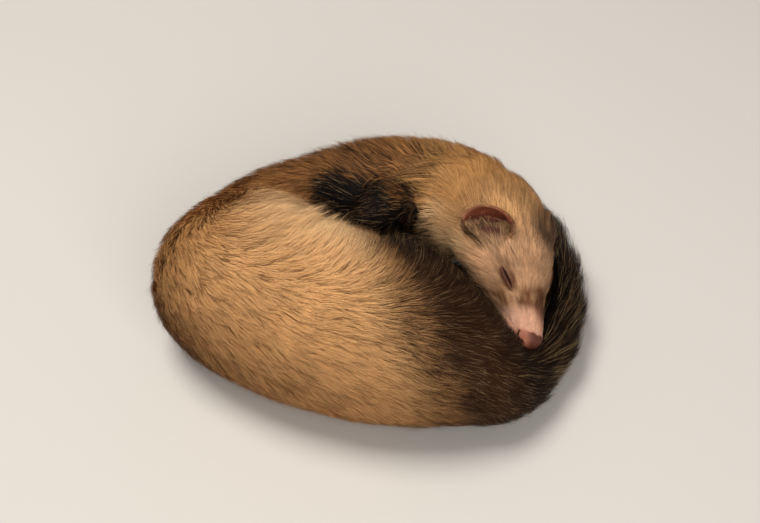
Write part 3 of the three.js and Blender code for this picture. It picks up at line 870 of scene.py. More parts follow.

# The bare skin's colours: the coat's colour darkened as painted shade under the fur, the lids, the nose's
# leather, and painted shade in the creases and the ear's hollow
face_part = smooth(-FACE_BLEND - 4, -30, local[:, 0]) * head_share
marks = face_marks(local)
# Under the fur the skin takes the coat's colour, halved away from the face and a little darker on it:
# painted shade deep in the coat
bare = mix(coat_rgb * 0.5, coat_rgb * 0.85, face_part)
bare = paint(bare, "pink", face_part * smooth(-18, -8, local[:, 0]) * 0.7)
bare = paint(bare, "lid_edge", face_part * capped(2.2 * marks.eye) * 0.8)
bare = paint(bare, "lid", face_part * capped(marks.lid) * 0.9)
# A near-black line along the slit between the closed lids: partly the lids' dark edges, partly painted
# shade in the slit
bare = paint(bare, "slit", face_part * capped(1.2 * marks.slit))
nose_top = capped(smooth(0.4, 2.2, local[:, 2]) + 0.4 * waves(points, 1.3, 12))
beside_nose = smooth(1.6, 4.4, side - 0.3 * local[:, 2]) * smooth(-2.6, -1.6, local[:, 2])
leather = paint(paint(COLOURS["nose"], "nose_top", nose_top), "nose_side", 0.8 * beside_nose)
bare = mix(bare, leather, face_part * capped(marks.pad) * 0.95)
# The mouth's line, the nostrils and the philtrum painted near black: painted shade in these creases and
# holes
crease_shade = capped(0.7 * marks.mouth + marks.nostril + 0.4 * marks.philtrum)
bare = paint(bare, "slit", face_part * crease_shade)
bare = mix(bare, hollow_shade_rgb, hollow)
wet = capped(marks.pad * face_part)

# The ears: a thin cup each, with a fold inside


def ball(half, centre, rows=40, sides=64):
    t = np.linspace(0, math.pi, rows + 2)[1:-1]
    zero = np.zeros(rows)
    c = np.stack([np.full(rows, centre[0]) - half[0] * np.cos(t), zero + centre[1], zero + centre[2]], -1)
    across = np.stack([zero, half[1] * np.sin(t), zero], -1)
    rise = np.stack([zero, zero, half[2] * np.sin(t)], -1)
    return tube(c, across, rise, np.full(rows, 2.0), sides, (half[0] * (1 - math.cos(t[0])),) * 2)


def ear_points(ear, shape):
    return from_head(ear.root + shape[0] @ ear_axes(ear)), shape[1]


EAR_GRAIN, EAR_SOFTENING = 0.00045, 3
EAR_INSET, CUP_SPARE = 0.25, 0.1
# The folds inside an ear: half sizes and place
EAR_FOLDS = (((0.9, 4.2, 0.8), (-2.2, 1.6, 0.6)), ((1.0, 2.0, 1.6), (-1.8, -5.6, -1.8)))


def ear_shell(name, ear):
    """A thin shell with its cup cut out and its folds set in."""
    shell = make_mesh("ear_shell_" + name, *ear_points(ear, ball(ear.shell - EAR_INSET, -ear.sunk)))
    cup = make_mesh("ear_cup_" + name, *ear_points(ear, ball(ear.cup + CUP_SPARE, ear.shift - ear.sunk)))
    for made in (shell, cup):
        rework(made, face_outwards)
    cut = shell.modifiers.new("cup", "BOOLEAN")
    cut.operation = "DIFFERENCE"
    cut.object = cup
    cut.solver = "EXACT"
    select_only(shell)
    bpy.ops.object.modifier_apply(modifier="cup")
    bpy.data.objects.remove(cup)
    size = ear.shell / EARS["right"].shell
    for half, at in EAR_FOLDS:
        make_mesh("fold", *ear_points(ear, ball(size * half, size * at, 12, 20))).select_set(True)
    bpy.ops.object.join()
    shell.data.remesh_voxel_size = EAR_GRAIN
    bpy.ops.object.voxel_remesh()
    move_points(shell, spread(points_of(shell), edges_of(shell), EAR_SOFTENING))
    rework(shell, triangulate)
    return shell


def ear_field(ear, shell):
    """For each point of an ear: place, normal, how far it lies inside and on the rim, and colour."""
    p, n = points_of(shell), normals_of(shell)
    own = ear_local(ear, p)
    front = ((to_head(p + n) - to_head(p)) @ ear_axes(ear).T)[:, 0]
    across, high = own[:, 1] / ear.shell[1], own[:, 2] / ear.shell[2]
    inside = smooth(-0.1, 0.4, front) * smooth(1.0, 0.72, across**2 + high**2)
    rim = smooth(0.8, 0.95, across**2 + high**2) * smooth(-0.2, 0.3, front)
    # Darker low inside the cup: painted shade deep in the ear's opening
    rgb = paint(COLOURS["ear"], "ear_hollow_shade", inside * smooth(0.6, 0.0, high))
    rgb = paint(rgb, "ear_rim", 0.7 * rim)
    rgb = paint(rgb, "face", 0.6 * smooth(0.1, -0.5, front))
    rgb = paint(rgb, "grey", 0.75 * ear.laid * (1 - 0.5 * inside))
    rgb = rgb * (1 + 0.12 * waves(p, 2.2, 31))[:, None]
    return SimpleNamespace(points=p, normals=n, own=own, inside=inside, rim=rim, rgb=rgb)


ear_shells = {name: ear_shell(name, ear) for name, ear in EARS.items()}
ear_fields = {name: ear_field(EARS[name], shell) for name, shell in ear_shells.items()}

# The coat

rework(skin, triangulate)
triangles = triangles_of(skin)

# How much the surface bends away along the lie of the fur, so that tufts can follow it
ends = np.concatenate([edges, edges[:, ::-1]])
step = points[ends[:, 1]] - points[ends[:, 0]]
turn = normals[ends[:, 1]] - normals[ends[:, 0]]
run = dot(step, lie[ends[:, 0]])[:, 0]
top = np.bincount(ends[:, 0], dot(turn, lie[ends[:, 0]])[:, 0] * run, len(points))
low = np.bincount(ends[:, 0], run * run, len(points))
curve = spread(np.clip(top / np.maximum(low, 1e-6), -0.05, 0.12)[:, None], edges, 12)[:, 0]

# A tuft's length and width: at no depth of coat, and more for each millimetre of depth
HAIR_LENGTH = (1.0, 1.75)
HAIR_WIDTH = (0.085, 0.022)


def choose(points, triangles, weight, count):
    """Draws triangles of a mesh by their area and weight."""
    a, b, c = (points[triangles[:, i]] for i in range(3))
    area = np.linalg.norm(np.cross(b - a, c - a), axis=1) / 2
    total = np.cumsum(area * weight[triangles].mean(1))
    return triangles[np.searchsorted(total, rng.uniform(0, total[-1], count))]


def inner_shares(count):
    """Even draws of a place in a triangle, as the shares of its corners."""
    u, v = rng.uniform(size=(2, count))
    over = u + v > 1
    u[over], v[over] = 1 - u[over], 1 - v[over]
    return np.stack([1 - u - v, u, v], -1)


def turned(v, axis, angle):
    c, s = np.cos(angle)[:, None], np.sin(angle)[:, None]
    return v * c + np.cross(axis, v) * s + axis * dot(axis, v) * (1 - c)


def in_head(points, spare):
    """True for places inside the head's coat, by at least `spare`."""
    p = to_head(points)
    back = np.clip(-p[:, 0], 0, HEAD_LENGTH)
    width, top, bottom, full, _ = between(HEAD_ROWS[:, 0], HEAD_ROWS[:, 1:], back).T
    middle, half = (top + bottom) / 2, (top - bottom) / 2
    y = np.abs(p[:, 1]) / np.maximum(width - spare, 0.5)
    z = np.abs(p[:, 2] - middle) / np.maximum(half - spare, 0.5)
    return (y**full + z**full < 1) & (p[:, 0] < 0) & (p[:, 0] > -HEAD_LENGTH)


# A tuft is a flat blade: pairs of points at the first three steps of its length, and one at its tip.
BLADE_STEPS = np.array([0.0, 0.34, 0.7, 1.0])
BLADE_WIDTHS = np.array([0.75, 1.0, 0.7, 0.0])
BLADE_FACES = np.array([[0, 3, 1], [0, 2, 3], [2, 5, 3], [2, 4, 5], [4, 6, 5]])
BLADE_POINTS = 7
POINT_STEPS = np.repeat(BLADE_STEPS, 2)[:BLADE_POINTS]
PATCH = 0.003
PATCH_CORNERS = np.array([[-1, -1], [1, -1], [-1, -0.3], [1, -0.3], [-0.7, 0.4], [0.7, 0.4], [0, 1]])


def blades(root, normal, lay, length, width, height, bend, clump_size, clump_share, seed):
    """Thin tapered tufts, bent with the skin and drawn together in clumps: points and shading normals."""
    r = np.random.default_rng(seed)
    count = len(root)
    side = unit(np.cross(normal, lay))
    height = np.minimum(height, length * 0.85)
    reach = np.sqrt(np.maximum(length**2 - height**2, 0.04))
    t = BLADE_STEPS[None, :, None]
    climb = 1 - (1 - t) ** 1.7
    sunk = np.minimum(0.35, 0.3 * length)[:, None, None]
    line = root[:, None] - normal[:, None] * sunk + lay[:, None] * (reach[:, None, None] * t)
    line = line + normal[:, None] * ((height[:, None, None] + sunk) * climb)
    line = line - normal[:, None] * (0.5 * bend * reach**2)[:, None, None] * t**2
    sway = r.normal(0, 0.05, count) * length
    line = line + side[:, None] * (sway[:, None, None] * t**2)
    warped = root + 1.2 * np.stack([waves(root, 6, seed + i) for i in (1, 2, 3)], -1)
    for size, share in ((clump_size, clump_share), (clump_size * 2.6, clump_share * 0.4)):
        size = np.broadcast_to(size, (count,))[:, None]
        cell = np.floor(warped / size).astype(np.int64)
        key = (cell[:, 0] * 73856093) ^ (cell[:, 1] * 19349663) ^ (cell[:, 2] * 83492791)
        _, group = np.unique(key, return_inverse=True)
        number = np.bincount(group)
        tip = line[:, -1]
        mean = np.stack([np.bincount(group, tip[:, c]) / number for c in range(3)], -1)[group]
        pull = (mean - tip) * np.broadcast_to(share, (count,))[:, None]
        line = line + pull[:, None] * t**1.6
    line[..., 2] = np.maximum(line[..., 2], TUFT_FLOOR)
    tilt = r.normal(0, 0.45, count)[:, None]
    across = unit(side * np.cos(tilt) + normal * np.sin(tilt))
    own = unit(normal * np.cos(tilt) - side * np.sin(tilt))
    half = (width[:, None] * BLADE_WIDTHS[None] / 2)[..., None]
    both = np.stack([line - across[:, None] * half, line + across[:, None] * half], 2)
    verts = both.reshape(count, -1, 3)[:, :BLADE_POINTS]
    shade = unit(normal + own * 0.16)
    shade_left, shade_right = unit(shade - across * 0.2), unit(shade + across * 0.2)
    return verts, np.stack([shade_left, shade_right] * 3 + [shade], 1)


def atlas(kind, along, angle):
    """Each root's place on the skin laid flat: the trunk's strip, the head's and the legs'."""
    turn = (angle / (2 * math.pi)) % 1.0
    u_body, v_body = 0.02 + 0.96 * along / TRUNK_LAST, 0.02 + 0.5 * turn
    u_head, v_head = 0.02 + 0.4 * along / HEAD_LENGTH, 0.56 + 0.38 * turn
    u_leg, v_leg = 0.5 + 0.46 * along / 12, 0.56 + 0.38 * turn
    u = np.where(kind == BODY, u_body, np.where(kind == HEAD, u_head, u_leg))
    v = np.where(kind == BODY, v_body, np.where(kind == HEAD, v_head, v_leg))
    return np.stack([u, v], -1)


def coat_piece(name, verts, shading, colours, uv_root, material):
    """One piece of the coat as a mesh with its colours, shading and places on the flat skin."""
    faces = (np.arange(len(verts)) * BLADE_POINTS)[:, None, None] + BLADE_FACES[None]
    made = make_mesh(name, verts.reshape(-1, 3), faces.reshape(-1, 3))
    colour_points(made, colours.reshape(-1, 3))
    mesh = made.data
    free = mesh.attributes.new("custom_normal", "FLOAT_VECTOR", "POINT")
    free.data.foreach_set("vector", shading.astype(np.float32).ravel())
    uv = uv_root[:, None] + PATCH_CORNERS[None] * (PATCH / 2)
    layer = mesh.uv_layers.new(name="OFBake")
    flat = uv.reshape(-1, 2)[faces.reshape(-1)]
    layer.data.foreach_set("uv", flat.astype(np.float32).ravel())
    mesh.materials.append(material)
    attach(made, "root")


# Materials


def shader(name, roughness, specular):
    material = bpy.data.materials.new(name)
    material.use_nodes = True
    nodes, links = material.node_tree.nodes, material.node_tree.links
    main = nodes["Principled BSDF"]
    main.inputs["Roughness"].default_value = roughness
    main.inputs["Specular IOR Level"].default_value = specular
    return material, nodes, links, main


def tinted(nodes, links, low, high, size, detail=4.0):
    """The points' own colour, made lighter and darker by a fine pattern."""
    tint = nodes.new("ShaderNodeAttribute")
    tint.attribute_name = "tint"
    place = nodes.new("ShaderNodeTexCoord")
    noise = nodes.new("ShaderNodeTexNoise")
    noise.inputs["Scale"].default_value = size
    noise.inputs["Detail"].default_value = detail
    links.new(place.outputs["Object"], noise.inputs["Vector"])
    level = nodes.new("ShaderNodeMapRange")
    level.inputs["To Min"].default_value = low
    level.inputs["To Max"].default_value = high
    links.new(noise.outputs["Fac"], level.inputs["Value"])
    scale = nodes.new("ShaderNodeVectorMath")
    scale.operation = "SCALE"
    links.new(tint.outputs["Color"], scale.inputs[0])
    links.new(level.outputs["Result"], scale.inputs["Scale"])
    return scale.outputs["Vector"], place


def coat_material(name, roughness, specular):
    material, nodes, links, main = shader(name, roughness, specular)
    colour, _ = tinted(nodes, links, 0.82, 1.16, 900)
    links.new(colour, main.inputs["Base Color"])
    return material


def mottled(name, roughness, specular, grain, shades):
    """A material that wanders between two shades."""
    material, nodes, links, main = shader(name, roughness, specular)
    noise = nodes.new("ShaderNodeTexNoise")
    noise.inputs["Scale"].default_value = grain
    ramp = nodes.new("ShaderNodeValToRGB")
    for end, rgb in zip(ramp.color_ramp.elements, shades):
        end.color = (*rgb, 1)
    links.new(noise.outputs["Fac"], ramp.inputs["Fac"])
    links.new(ramp.outputs["Color"], main.inputs["Base Color"])
    return material


def shades_of(name):
    return COLOURS[name], COLOURS[name + "_light"]


fur_cream = coat_material("fur_cream", 0.6, 0.1)
fur_dark = coat_material("fur_dark", 0.55, 0.08)
fur_face = coat_material("fur_face", 0.62, 0.16)
fur_ear = coat_material("fur_ear", 0.5, 0.3)

# The skin: fine pores, a little light let in, and a wet shine on the nose
DRY, WET = 0.6, 0.42
skin_material, nodes, links, main = shader("skin", DRY, 0.2)
colour, place = tinted(nodes, links, 0.8, 1.18, 700, 6.0)
links.new(colour, main.inputs["Base Color"])
main.inputs["Subsurface Weight"].default_value = 0.12
main.inputs["Subsurface Radius"].default_value = (0.0016, 0.0006, 0.0004)
wet_level = nodes.new("ShaderNodeAttribute")
wet_level.attribute_name = "wet"
sheen = nodes.new("ShaderNodeMapRange")
sheen.inputs["To Min"].default_value = DRY
sheen.inputs["To Max"].default_value = WET
links.new(wet_level.outputs["Fac"], sheen.inputs["Value"])
links.new(sheen.outputs["Result"], main.inputs["Roughness"])
pores = nodes.new("ShaderNodeTexVoronoi")
pores.inputs["Scale"].default_value = 1900
links.new(place.outputs["Object"], pores.inputs["Vector"])
relief = nodes.new("ShaderNodeBump")
relief.inputs["Strength"].default_value = 0.5
relief.inputs["Distance"].default_value = 0.00022
links.new(pores.outputs["Distance"], relief.inputs["Height"])
links.new(relief.outputs["Normal"], main.inputs["Normal"])

# The body's coat: how thick it is at each place on the skin
under = smooth(-0.55, -0.95, normals[:, 2]) * smooth(6, 3, points[:, 2])
air = 0.1 + 0.9 * openness**1.2
length_at = HAIR_LENGTH[0] + HAIR_LENGTH[1] * depth
width_at = HAIR_WIDTH[0] + HAIR_WIDTH[1] * depth
layers = 5 + 15 * smooth(0.8, 4, depth)
chance = layers / (length_at * width_at) * air * (1 - 0.75 * under)
marked = marks.pad * 1.1 + 1.6 * marks.slit + marks.lid + marks.mouth + marks.nostril * 1.5
chance = chance * (1 - face_part * capped(marked)) * (1 - 0.2 * hollow)

# Each tuft's root, with what the skin says there
TUFTS = 268000
corner = choose(points, triangles, chance, TUFTS)
shares = inner_shares(TUFTS)


def at_roots(values):
    got = values[corner]
    return (got * (shares[..., None] if got.ndim == 3 else shares)).sum(1)


root, root_n, root_lie = at_roots(points), unit(at_roots(normals)), at_roots(lie)
root_depth, root_curve, root_guard = at_roots(depth), at_roots(curve), at_roots(guard)
root_dark, root_face = at_roots(darkness), at_roots(face_part)
own_dark = capped((root_dark - rng.uniform(size=TUFTS)) * 2.2 + root_dark)
root_rgb = mix(at_roots(base_rgb), at_roots(deep_rgb), own_dark)
near = corner[np.arange(TUFTS), shares.argmax(1)]
kind, root_along, root_angle = region[near], along[near], angle[near]
root_local = to_head(root)
head_x, head_y, head_z = root_local.T
body = kind == BODY
out, up = np.cos(root_angle), np.sin(root_angle)
length = HAIR_LENGTH[0] + HAIR_LENGTH[1] * root_depth
width = HAIR_WIDTH[0] + HAIR_WIDTH[1] * root_depth


def level(ways):
    """The directions laid flat on the skin at the roots."""
    return unit(ways - root_n * dot(ways, root_n))


# The lie wanders a little, in locks and hair by hair
wander = 0.22 * waves(root, 7, 41) + 0.16 * waves(root, 2.6, 42) + rng.normal(0, 0.13, TUFTS)
fan = body * smooth(6, 7, root_along) * smooth(10.5, 9.5, root_along)
calm = 1 - 0.55 * root_face - 0.5 * fan * smooth(0.4, -0.2, out)
slant = body * smooth(0.8, 1.8, root_along) * smooth(5.6, 4.6, root_along)
slant *= smooth(-0.2, 0.4, up) * smooth(1, 0.6, out)
root_lie = unit(turned(level(root_lie), root_n, wander * calm - 0.6 * slant))

# Longer pale fur stands over the hollow of the curl, and longer fur hangs from the cheeks
brim = body * smooth(0.5, -0.3, out) * smooth(-0.2, 0.3, up) * smooth(6.3, 7.3, root_along)
brim *= smooth(15.4, 14.2, root_along)
cheeks = (kind == HEAD) * smooth(-12, -30, head_x) * smooth(4, -4, head_z)
cheeks *= smooth(6, 10, np.abs(head_y))
inward = level(-trunk_sections(np.clip(root_along, 0, TRUNK_LAST), False)[1])
combed = mix(root_lie, inward, brim)
upright = brim * (1 - np.linalg.norm(combed, axis=1))
root_lie = unit(combed)
down = level(-HEAD_AXES[2] * 0.8 + HEAD_AXES[1] * np.sign(root_local[:, 1:2]) * 0.5)
root_lie = unit(root_lie + down * (0.9 * cheeks)[:, None])
tail_hair = body * smooth(14.6, 16.2, root_along)
ruff = (kind == HEAD) * smooth(-44, -54, head_x)
jaw = cheeks * (head_y < 0)
thigh_rim = brim * smooth(11.4, 12.4, root_along)
length = length * (1 + 0.25 * brim + 1.3 * cheeks + 0.5 * tail_hair + 0.6 * ruff + 0.5 * thigh_rim)

# Dark guard hairs, pale single hairs, stray hairs, and each tuft's own size
luck = rng.uniform(size=TUFTS)
is_guard = luck < root_guard * (own_dark < 0.5)
light_share = (0.09 + 0.08 * body * smooth(14.2, 15.6, root_along)) * smooth(0.4, 0.9, root_dark)
light_share = light_share * (1 - root_face)
is_light = (luck > 1 - light_share) & ~is_guard
single = is_guard | is_light
size = rng.uniform(0.7, 1.15, TUFTS)
length = length * size * np.where(is_guard, 1.35, 1) * np.where(is_light, 1.2, 1)
width = width * rng.uniform(0.7, 1.2, TUFTS) * np.where(single, 0.55, 1)
width = width * (1 - 0.2 * (kind == HEAD)) * (1 - 0.25 * tail_hair) * (1 - 0.4 * brim)
stray = (rng.uniform(size=TUFTS) < 0.12) * (1 - root_face)
width = width * (1 - 0.45 * stray)
rise_share = rng.uniform(0.6, 1.08, TUFTS)
rise_share = np.where(single, 0.98 + 0.3 * (rise_share - 0.6), rise_share)
rise_share += 0.12 * brim + 0.5 * upright + 0.5 * cheeks + 1.0 * jaw + 0.35 * ruff
rise_share += 0.12 * tail_hair + 0.6 * thigh_rim * rng.uniform(size=TUFTS)
rise_share += rng.uniform(0.1, 0.75, TUFTS) * stray
height = 0.1 + root_depth * rise_share * (0.94 + 0.08 * waves(root, 6, 43))
clump_size = (0.7 + 0.36 * root_depth) * (1 - 0.25 * tail_hair)
clump_share = np.where(single, 0.25, 0.5) * (1 - 0.4 * root_face) * (1 - 0.5 * brim)
verts, shading = blades(
    root, root_n, root_lie, length, width, height, root_curve, clump_size, clump_share, 51
)

# Tufts that would lie inside the head or stand before the face or the ears' openings are left out
MIDDLE, UPPER, TIP = 3, 4, 6
BALD, EAR_NEAR, CUP_SHADED = 0.62, 16, 0.45
left_out = (in_head(verts[:, TIP], 0.8) | in_head(verts[:, UPPER], 1.2)) & (kind != HEAD)
facing = np.nonzero((kind == HEAD) & (head_x > -FACE_BACK))[0]
for place in (MIDDLE, TIP):
    near_marks = face_marks(to_head(verts[facing, place]))
    bald = np.maximum(1.6 * near_marks.nostril, np.maximum(0.95 * near_marks.pad, near_marks.slit))
    left_out[facing[bald + 0.5 * near_marks.lid > BALD]] = True
for ear in EARS.values():
    around_ear = np.nonzero((kind == HEAD) & (np.abs(head_x - ear.root[0]) < EAR_NEAR))[0]
    for place in (UPPER, TIP):
        ahead, across, high = (ear_local(ear, verts[around_ear, place]) / [1, *ear.cup[1:]]).T
        in_cup = (across**2 + high**2 < 1) & (ahead > -1) & (ahead < 9)
        spared = 0.8 * smooth(0.0, -0.45, high)
        left_out[around_ear[in_cup & (rng.uniform(size=len(high)) > spared)]] = True
        # Some tufts over the ear's opening darkened to umber: painted shade in the cup
        cup_shaded = around_ear[in_cup & (rng.uniform(size=len(high)) < CUP_SHADED)]
        root_rgb[cup_shaded] = paint(root_rgb[cup_shaded], "umber", 0.75)

# Each tuft's colour from its root to its tip, a little darker at the root and lighter at the tip as
# painted shade deep in the coat
shade_of = 1 + rng.normal(0, 0.05, TUFTS) + 0.05 * waves(root, 4, 44) + 0.06 * waves(root, 11, 45)
shade_of = 1 + (np.clip(shade_of, 0.55, 1.5) - 1) * (1.2 + 1.2 * root_dark + 1.9 * (kind == HEAD))
strands = 0.16 * waves(root_local * [0.2, 1, 1], 1.0, 46, 24)
strands += 0.1 * waves(root_local * [0.3, 1, 1], 2.0, 47, 24)
shade_of = np.clip(shade_of + strands * (kind == HEAD), 0.4, 1.6)[:, None]
light_rgb = paint(COLOURS["umber"], "strand", rng.uniform(0, 1.0, TUFTS) ** 1.5)
own_rgb = np.where(is_light[:, None], light_rgb, root_rgb) * shade_of
guard_rgb = mix(COLOURS["brown"], root_rgb, 0.25)
tip_rgb = np.where(is_guard[:, None], guard_rgb * shade_of, own_rgb * 1.04)
root_shaded_rgb = np.where(is_guard[:, None], root_rgb * 0.95, own_rgb * 0.94)
to_tip = smooth(0, 0.4, POINT_STEPS[None, :, None])
colours = np.clip(root_shaded_rgb[:, None] * (1 - to_tip) + tip_rgb[:, None] * to_tip, 0.002, 0.95)
uv_root = atlas(kind, root_along, root_angle)

# The pieces of the coat: where each ends along the trunk, and those of the legs and the head
group = np.full(TUFTS, "coat_legs", dtype=object)
COAT_ENDS = [
    (1.6, "coat_neck"), (3.6, "coat_shoulders"), (5.6, "coat_ribs"), (7.2, "coat_back"),
    (8.8, "coat_bend"), (10.0, "coat_waist"), (11.2, "coat_loin"), (12.4, "coat_flank"),
    (13.6, "coat_hips"), (15.2, "coat_rump"), (99, "coat_tail"),
]
FACE_END = -36
for end, name in reversed(COAT_ENDS):
    group[body & (root_along < end)] = name
group[kind == HEAD] = np.where(head_x[kind == HEAD] < FACE_END, "coat_crown", "coat_face")
COATS = {
    "face_coat": (fur_face, ("coat_crown", "coat_face")),
    "dark_coat": (fur_dark, ("coat_hips", "coat_rump", "coat_tail", "coat_legs")),
}
for name in sorted(set(group)):
    rows = (group == name) & ~left_out
    slot = next((slot for slot, coat in COATS.items() if name in coat[1]), "cream_coat")
    material = COATS[slot][0] if slot in COATS else fur_cream
    coat_piece(name, verts[rows], shading[rows], colours[rows], uv_root[rows], material)

# The ears' coat: short fur on the back, a fringe on the rim and long hairs rising over the opening
EAR_TUFTS = 9000
EAR_HAIR_WIDTH, EAR_CURVE = 0.11, 0.04
for number, (name, field) in enumerate(ear_fields.items()):
    ear, own = EARS[name], field.own
    corner = triangles_of(ear_shells[name])
    hairy = 1.0 - field.inside * (0.9 - 0.9 * smooth(0.1, -0.5, own[:, 2] / ear.shell[2]))
    corner = choose(field.points, corner, hairy, EAR_TUFTS)
    shares = rng.dirichlet([1, 1, 1], EAR_TUFTS)
    root, root_n, own = at_roots(field.points), unit(at_roots(field.normals)), at_roots(own)
    inside, rim = at_roots(field.inside), at_roots(field.rim)
    stands, base = (ear_axes(ear) @ HEAD_AXES)[[2, 1]]
    lay = level(unit(stands[None] * 0.75 + base[None] * (own[:, 1:2] / 12)))
    low = smooth(0.1, -0.5, own[:, 2] / ear.shell[2])
    length = 1.4 + 0.9 * rng.uniform(size=EAR_TUFTS)
    length = length * (1 + inside * (0.1 + 1.5 * low) + 0.6 * ear.laid)
    height = 0.3 + 0.3 * rng.uniform(size=EAR_TUFTS) + 1.2 * inside * low + 0.2 * ear.laid
    rgb = paint(COLOURS["cream"], "face", rng.uniform(0.0, 0.9, EAR_TUFTS))
    rgb = paint(rgb, "ear_rim", 0.45 * rim)
    inner_tint = np.where(rng.uniform(size=EAR_TUFTS) < 0.8, 0.9, 0.1)
    rgb = mix(rgb, COLOURS["ear"] * 0.8, inside * inner_tint * (1 - low))
    # Hairs low in the opening darkened to umber: painted shade in the ear's hollow
    rgb = paint(rgb, "umber", capped(1.3 * inside) * inner_tint * low)
    rgb = paint(rgb, "grey", 0.8 * ear.laid)
    every = np.ones(EAR_TUFTS)
    verts, shading = blades(
        root, root_n, lay, length, every * EAR_HAIR_WIDTH, height, every * EAR_CURVE, 0.9, 0.3, 61 + number
    )
    rgb = rgb * (1 + rng.normal(0, 0.12, EAR_TUFTS))[:, None]
    # Darker at the root and lighter at the tip: painted shade deep in the ear's fur
    colours = capped(rgb[:, None] * (0.8 + 0.3 * POINT_STEPS)[None, :, None])
    u, v = 0.3 + 0.08 * number + 0.03 * (1 + own[:, 1] / 12), 0.965 + 0.014 * own[:, 2] / 8
    uv_root = np.stack([u, v], -1)
    coat_piece("coat_ear_" + name, verts, shading, colours, uv_root, fur_ear)

# The skin and the ears as one piece
select_only(skin)
for shell in ear_shells.values():
    shell.select_set(True)
bpy.ops.object.join()
ear_rgb = [field.rgb for field in ear_fields.values()]
colour_points(skin, capped(np.concatenate([bare] + ear_rgb)))
wetness = skin.data.attributes.new("wet", "FLOAT", "POINT")
wetness.data.foreach_set(
    "value", np.concatenate([wet] + [np.zeros(len(e)) for e in ear_rgb]).astype(np.float32)
)
skin.data.polygons.foreach_set("use_smooth", np.ones(len(skin.data.polygons), bool))
skin.data.materials.clear()
skin.data.materials.append(skin_material)
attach(skin, "root")
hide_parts(*FLESH)

# Claws


def strand(line, radius, sides):
    """A tapered closed tube along a line of points."""
    along = unit(np.gradient(line, axis=0))
    across = unit(np.cross(along, [0.13, 0.21, 0.97]))
    rise = np.cross(along, across)
    radius = np.asarray(radius)[:, None]
    full = np.full(len(line), 2.0)
    domes = (radius[0, 0] * 0.5, radius[-1, 0] * 0.5)
    return tube(line, across * radius, rise * radius, full, sides, domes)


claw_radii = np.linspace(CLAW_ROOT, CLAW_TIP, CLAW_STEPS) * 0.8
claw = make_mesh("claws", *together([strand(line, claw_radii, 10) for line in claws]))
claw.data.materials.append(mottled("claw", 0.45, 0.25, 500, shades_of("claw")))
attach(claw, "root")

# The line between the closed lids, with short lashes
LID_STEPS, LID_SIDES, LID_HALF = 25, 8, (0.02, 0.24)
LASHES, LASH_LENGTH, LASH_STEPS = range(3, 22, 3), 0.9, 5
face_bvh = BVHTree.FromPolygons(points_of(skin).tolist(), triangles_of(skin).tolist())


def on_skin(local_point, sink):
    """The place on the skin nearest a point in head terms, sunk below it by `sink`."""
    spot, way, _, _ = face_bvh.find_nearest(from_head(np.asarray(local_point, float)))
    return np.array(spot) - np.array(way) * sink, np.array(way)


line_parts = []
for side in (1, -1):
    line, ways = [], []
    for share in np.linspace(-1, 1, LID_STEPS):
        x = LID_REACH * EYE_HALF * share
        y = EYE_SIDE - 0.37 * x - 0.5
        z = EYE_UP - 0.08 * x - 0.12 * (1 - share**2)
        spot, way = on_skin([x - EYE_BACK, side * y, z], 0.05)
        line.append(spot)
        ways.append(way)
    radius = LID_HALF[0] + LID_HALF[1] * capped(1 - np.linspace(-1, 1, LID_STEPS) ** 2) ** 1.3
    line_parts.append(strand(np.array(line), radius, LID_SIDES))
    for place in LASHES:
        way = unit(ways[place] * 0.7 + HEAD_AXES[2] * -0.5 + HEAD_AXES[0] * 0.2)
        t = np.linspace(0, 1, LASH_STEPS)[:, None]
        lash = line[place] + way * (LASH_LENGTH * t) - HEAD_AXES[2] * (0.3 * t**2)
        line_parts.append(strand(lash, np.linspace(0.04, 0.015, LASH_STEPS), 4))
lid_line = make_mesh("lid_lines", *together(line_parts))
lid_line.data.materials.append(mottled("lid_line", 0.6, 0.08, 900, shades_of("lid_line")))
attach(lid_line, "root")

# Whiskers: those over the eye and on the cheek as x, y, z and reach, and four rows beside the nose
BROW_WHISKERS = ((-31, 9, 10.5, 13), (-33, 9.5, 10, 15), (-34, 11, 8.5, 11), (-39, 17, 2, 12))
WHISKER_ROWS, WHISKERS_PER_ROW = 4, 4
WHISKER_REACH = (11, 19)
WHISKER_STEPS, WHISKER_SIDES, WHISKER_TIP = 12, 5, 0.02


def whisker_from(start, way, sag, reach, radius):
    """A whisker in head terms, from its root along its way, bent by its sag."""
    t = np.linspace(0, 1, WHISKER_STEPS)[:, None]
    line = start + unit(np.array(way)) * reach * t + np.array(sag) * reach * t**2
    return strand(from_head(line), np.linspace(radius, WHISKER_TIP, WHISKER_STEPS), WHISKER_SIDES)


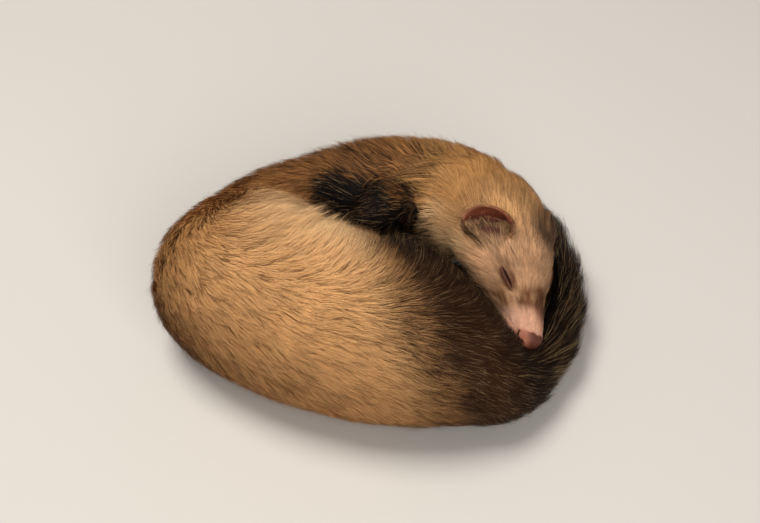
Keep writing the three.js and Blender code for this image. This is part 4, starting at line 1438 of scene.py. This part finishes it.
whisker_parts = []
for side in (1, -1):
    for x, y, z, reach in BROW_WHISKERS:
        start = to_head(on_skin([x, side * y, z], 0.1)[0])
        way, sag = [-0.55, side * 0.62, 0.45], [-0.3, side * 0.05, -0.25]
        whisker_parts.append(whisker_from(start, way, sag, reach, 0.085))
for side in (1, -1):
    for row in range(WHISKER_ROWS):
        for place in range(WHISKERS_PER_ROW):
            near = [-5.2 - 2.3 * place - 0.4 * row, side * 6.5, -0.6 - 1.35 * row + 0.25 * place]
            start = to_head(np.array(head_bvh.find_nearest(from_head(np.array(near)))[0]))
            way = [-0.75 + 0.08 * place, side * (0.75 - 0.05 * row), 0.16 - 0.2 * row]
            sag = [-0.22, side * -0.12, -0.1]
            whisker_parts.append(whisker_from(start, way, sag, rng.uniform(*WHISKER_REACH), 0.09))
whisker = make_mesh("whiskers", *together(whisker_parts))
whisker.data.materials.append(mottled("whisker", 0.35, 0.5, 150, shades_of("whisker")))
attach(whisker, "root")

# The floor, the light and the camera
FLOOR_HALF = 2500.0
floor_corners = np.array([[-1, -1, 0], [1, -1, 0], [1, 1, 0], [-1, 1, 0]]) * FLOOR_HALF
floor = make_mesh("floor", floor_corners, np.array([[0, 1, 2], [0, 2, 3]]))
floor.data.materials.append(mottled("floor_paint", 0.75, 0.2, 6, FLOOR_SHADES))

AIM = Vector((0.0, -0.002, 0.03))


def soft_light(name, place, size, watts, colour):
    light = bpy.data.lights.new(name, "AREA")
    light.shape = "DISK"
    light.size = size
    light.energy = watts
    light.color = colour
    made = bpy.data.objects.new(name, light)
    bpy.context.scene.collection.objects.link(made)
    made.location = place
    made.rotation_euler = (AIM - Vector(place)).to_track_quat("-Z", "Y").to_euler()


# Each light's place, width in metres, watts and colour
soft_light("key", (-0.28, 0.05, 1.0), 0.45, 8.2, (1.0, 0.95, 0.88))
soft_light("fill", (0.3, -0.95, 0.75), 0.9, 7, (1.0, 0.95, 0.9))

world = bpy.data.worlds.new("studio")
world.use_nodes = True
world.node_tree.nodes["Background"].inputs["Color"].default_value = (1.0, 0.96, 0.92, 1)
world.node_tree.nodes["Background"].inputs["Strength"].default_value = 0.26
bpy.context.scene.world = world
bpy.context.scene.view_settings.view_transform = "Standard"

# The camera stands where the photo's stood, in metres, with a lens in millimetres
CAMERA_AT = Vector((0.00308, -0.38854, 0.50495))
CAMERA_TO = Vector((0.00308, 0.00996, 0.030))
SENSOR_WIDTH, LENS = 36, 71.07
camera_data = bpy.data.cameras.new("camera")
camera_data.sensor_width = SENSOR_WIDTH
camera_data.lens = LENS
camera_data.clip_start = 0.01
camera = bpy.data.objects.new("camera", camera_data)
camera.location = CAMERA_AT
camera.rotation_euler = (CAMERA_TO - CAMERA_AT).to_track_quat("-Z", "Y").to_euler()
bpy.context.scene.collection.objects.link(camera)
bpy.context.scene.camera = camera
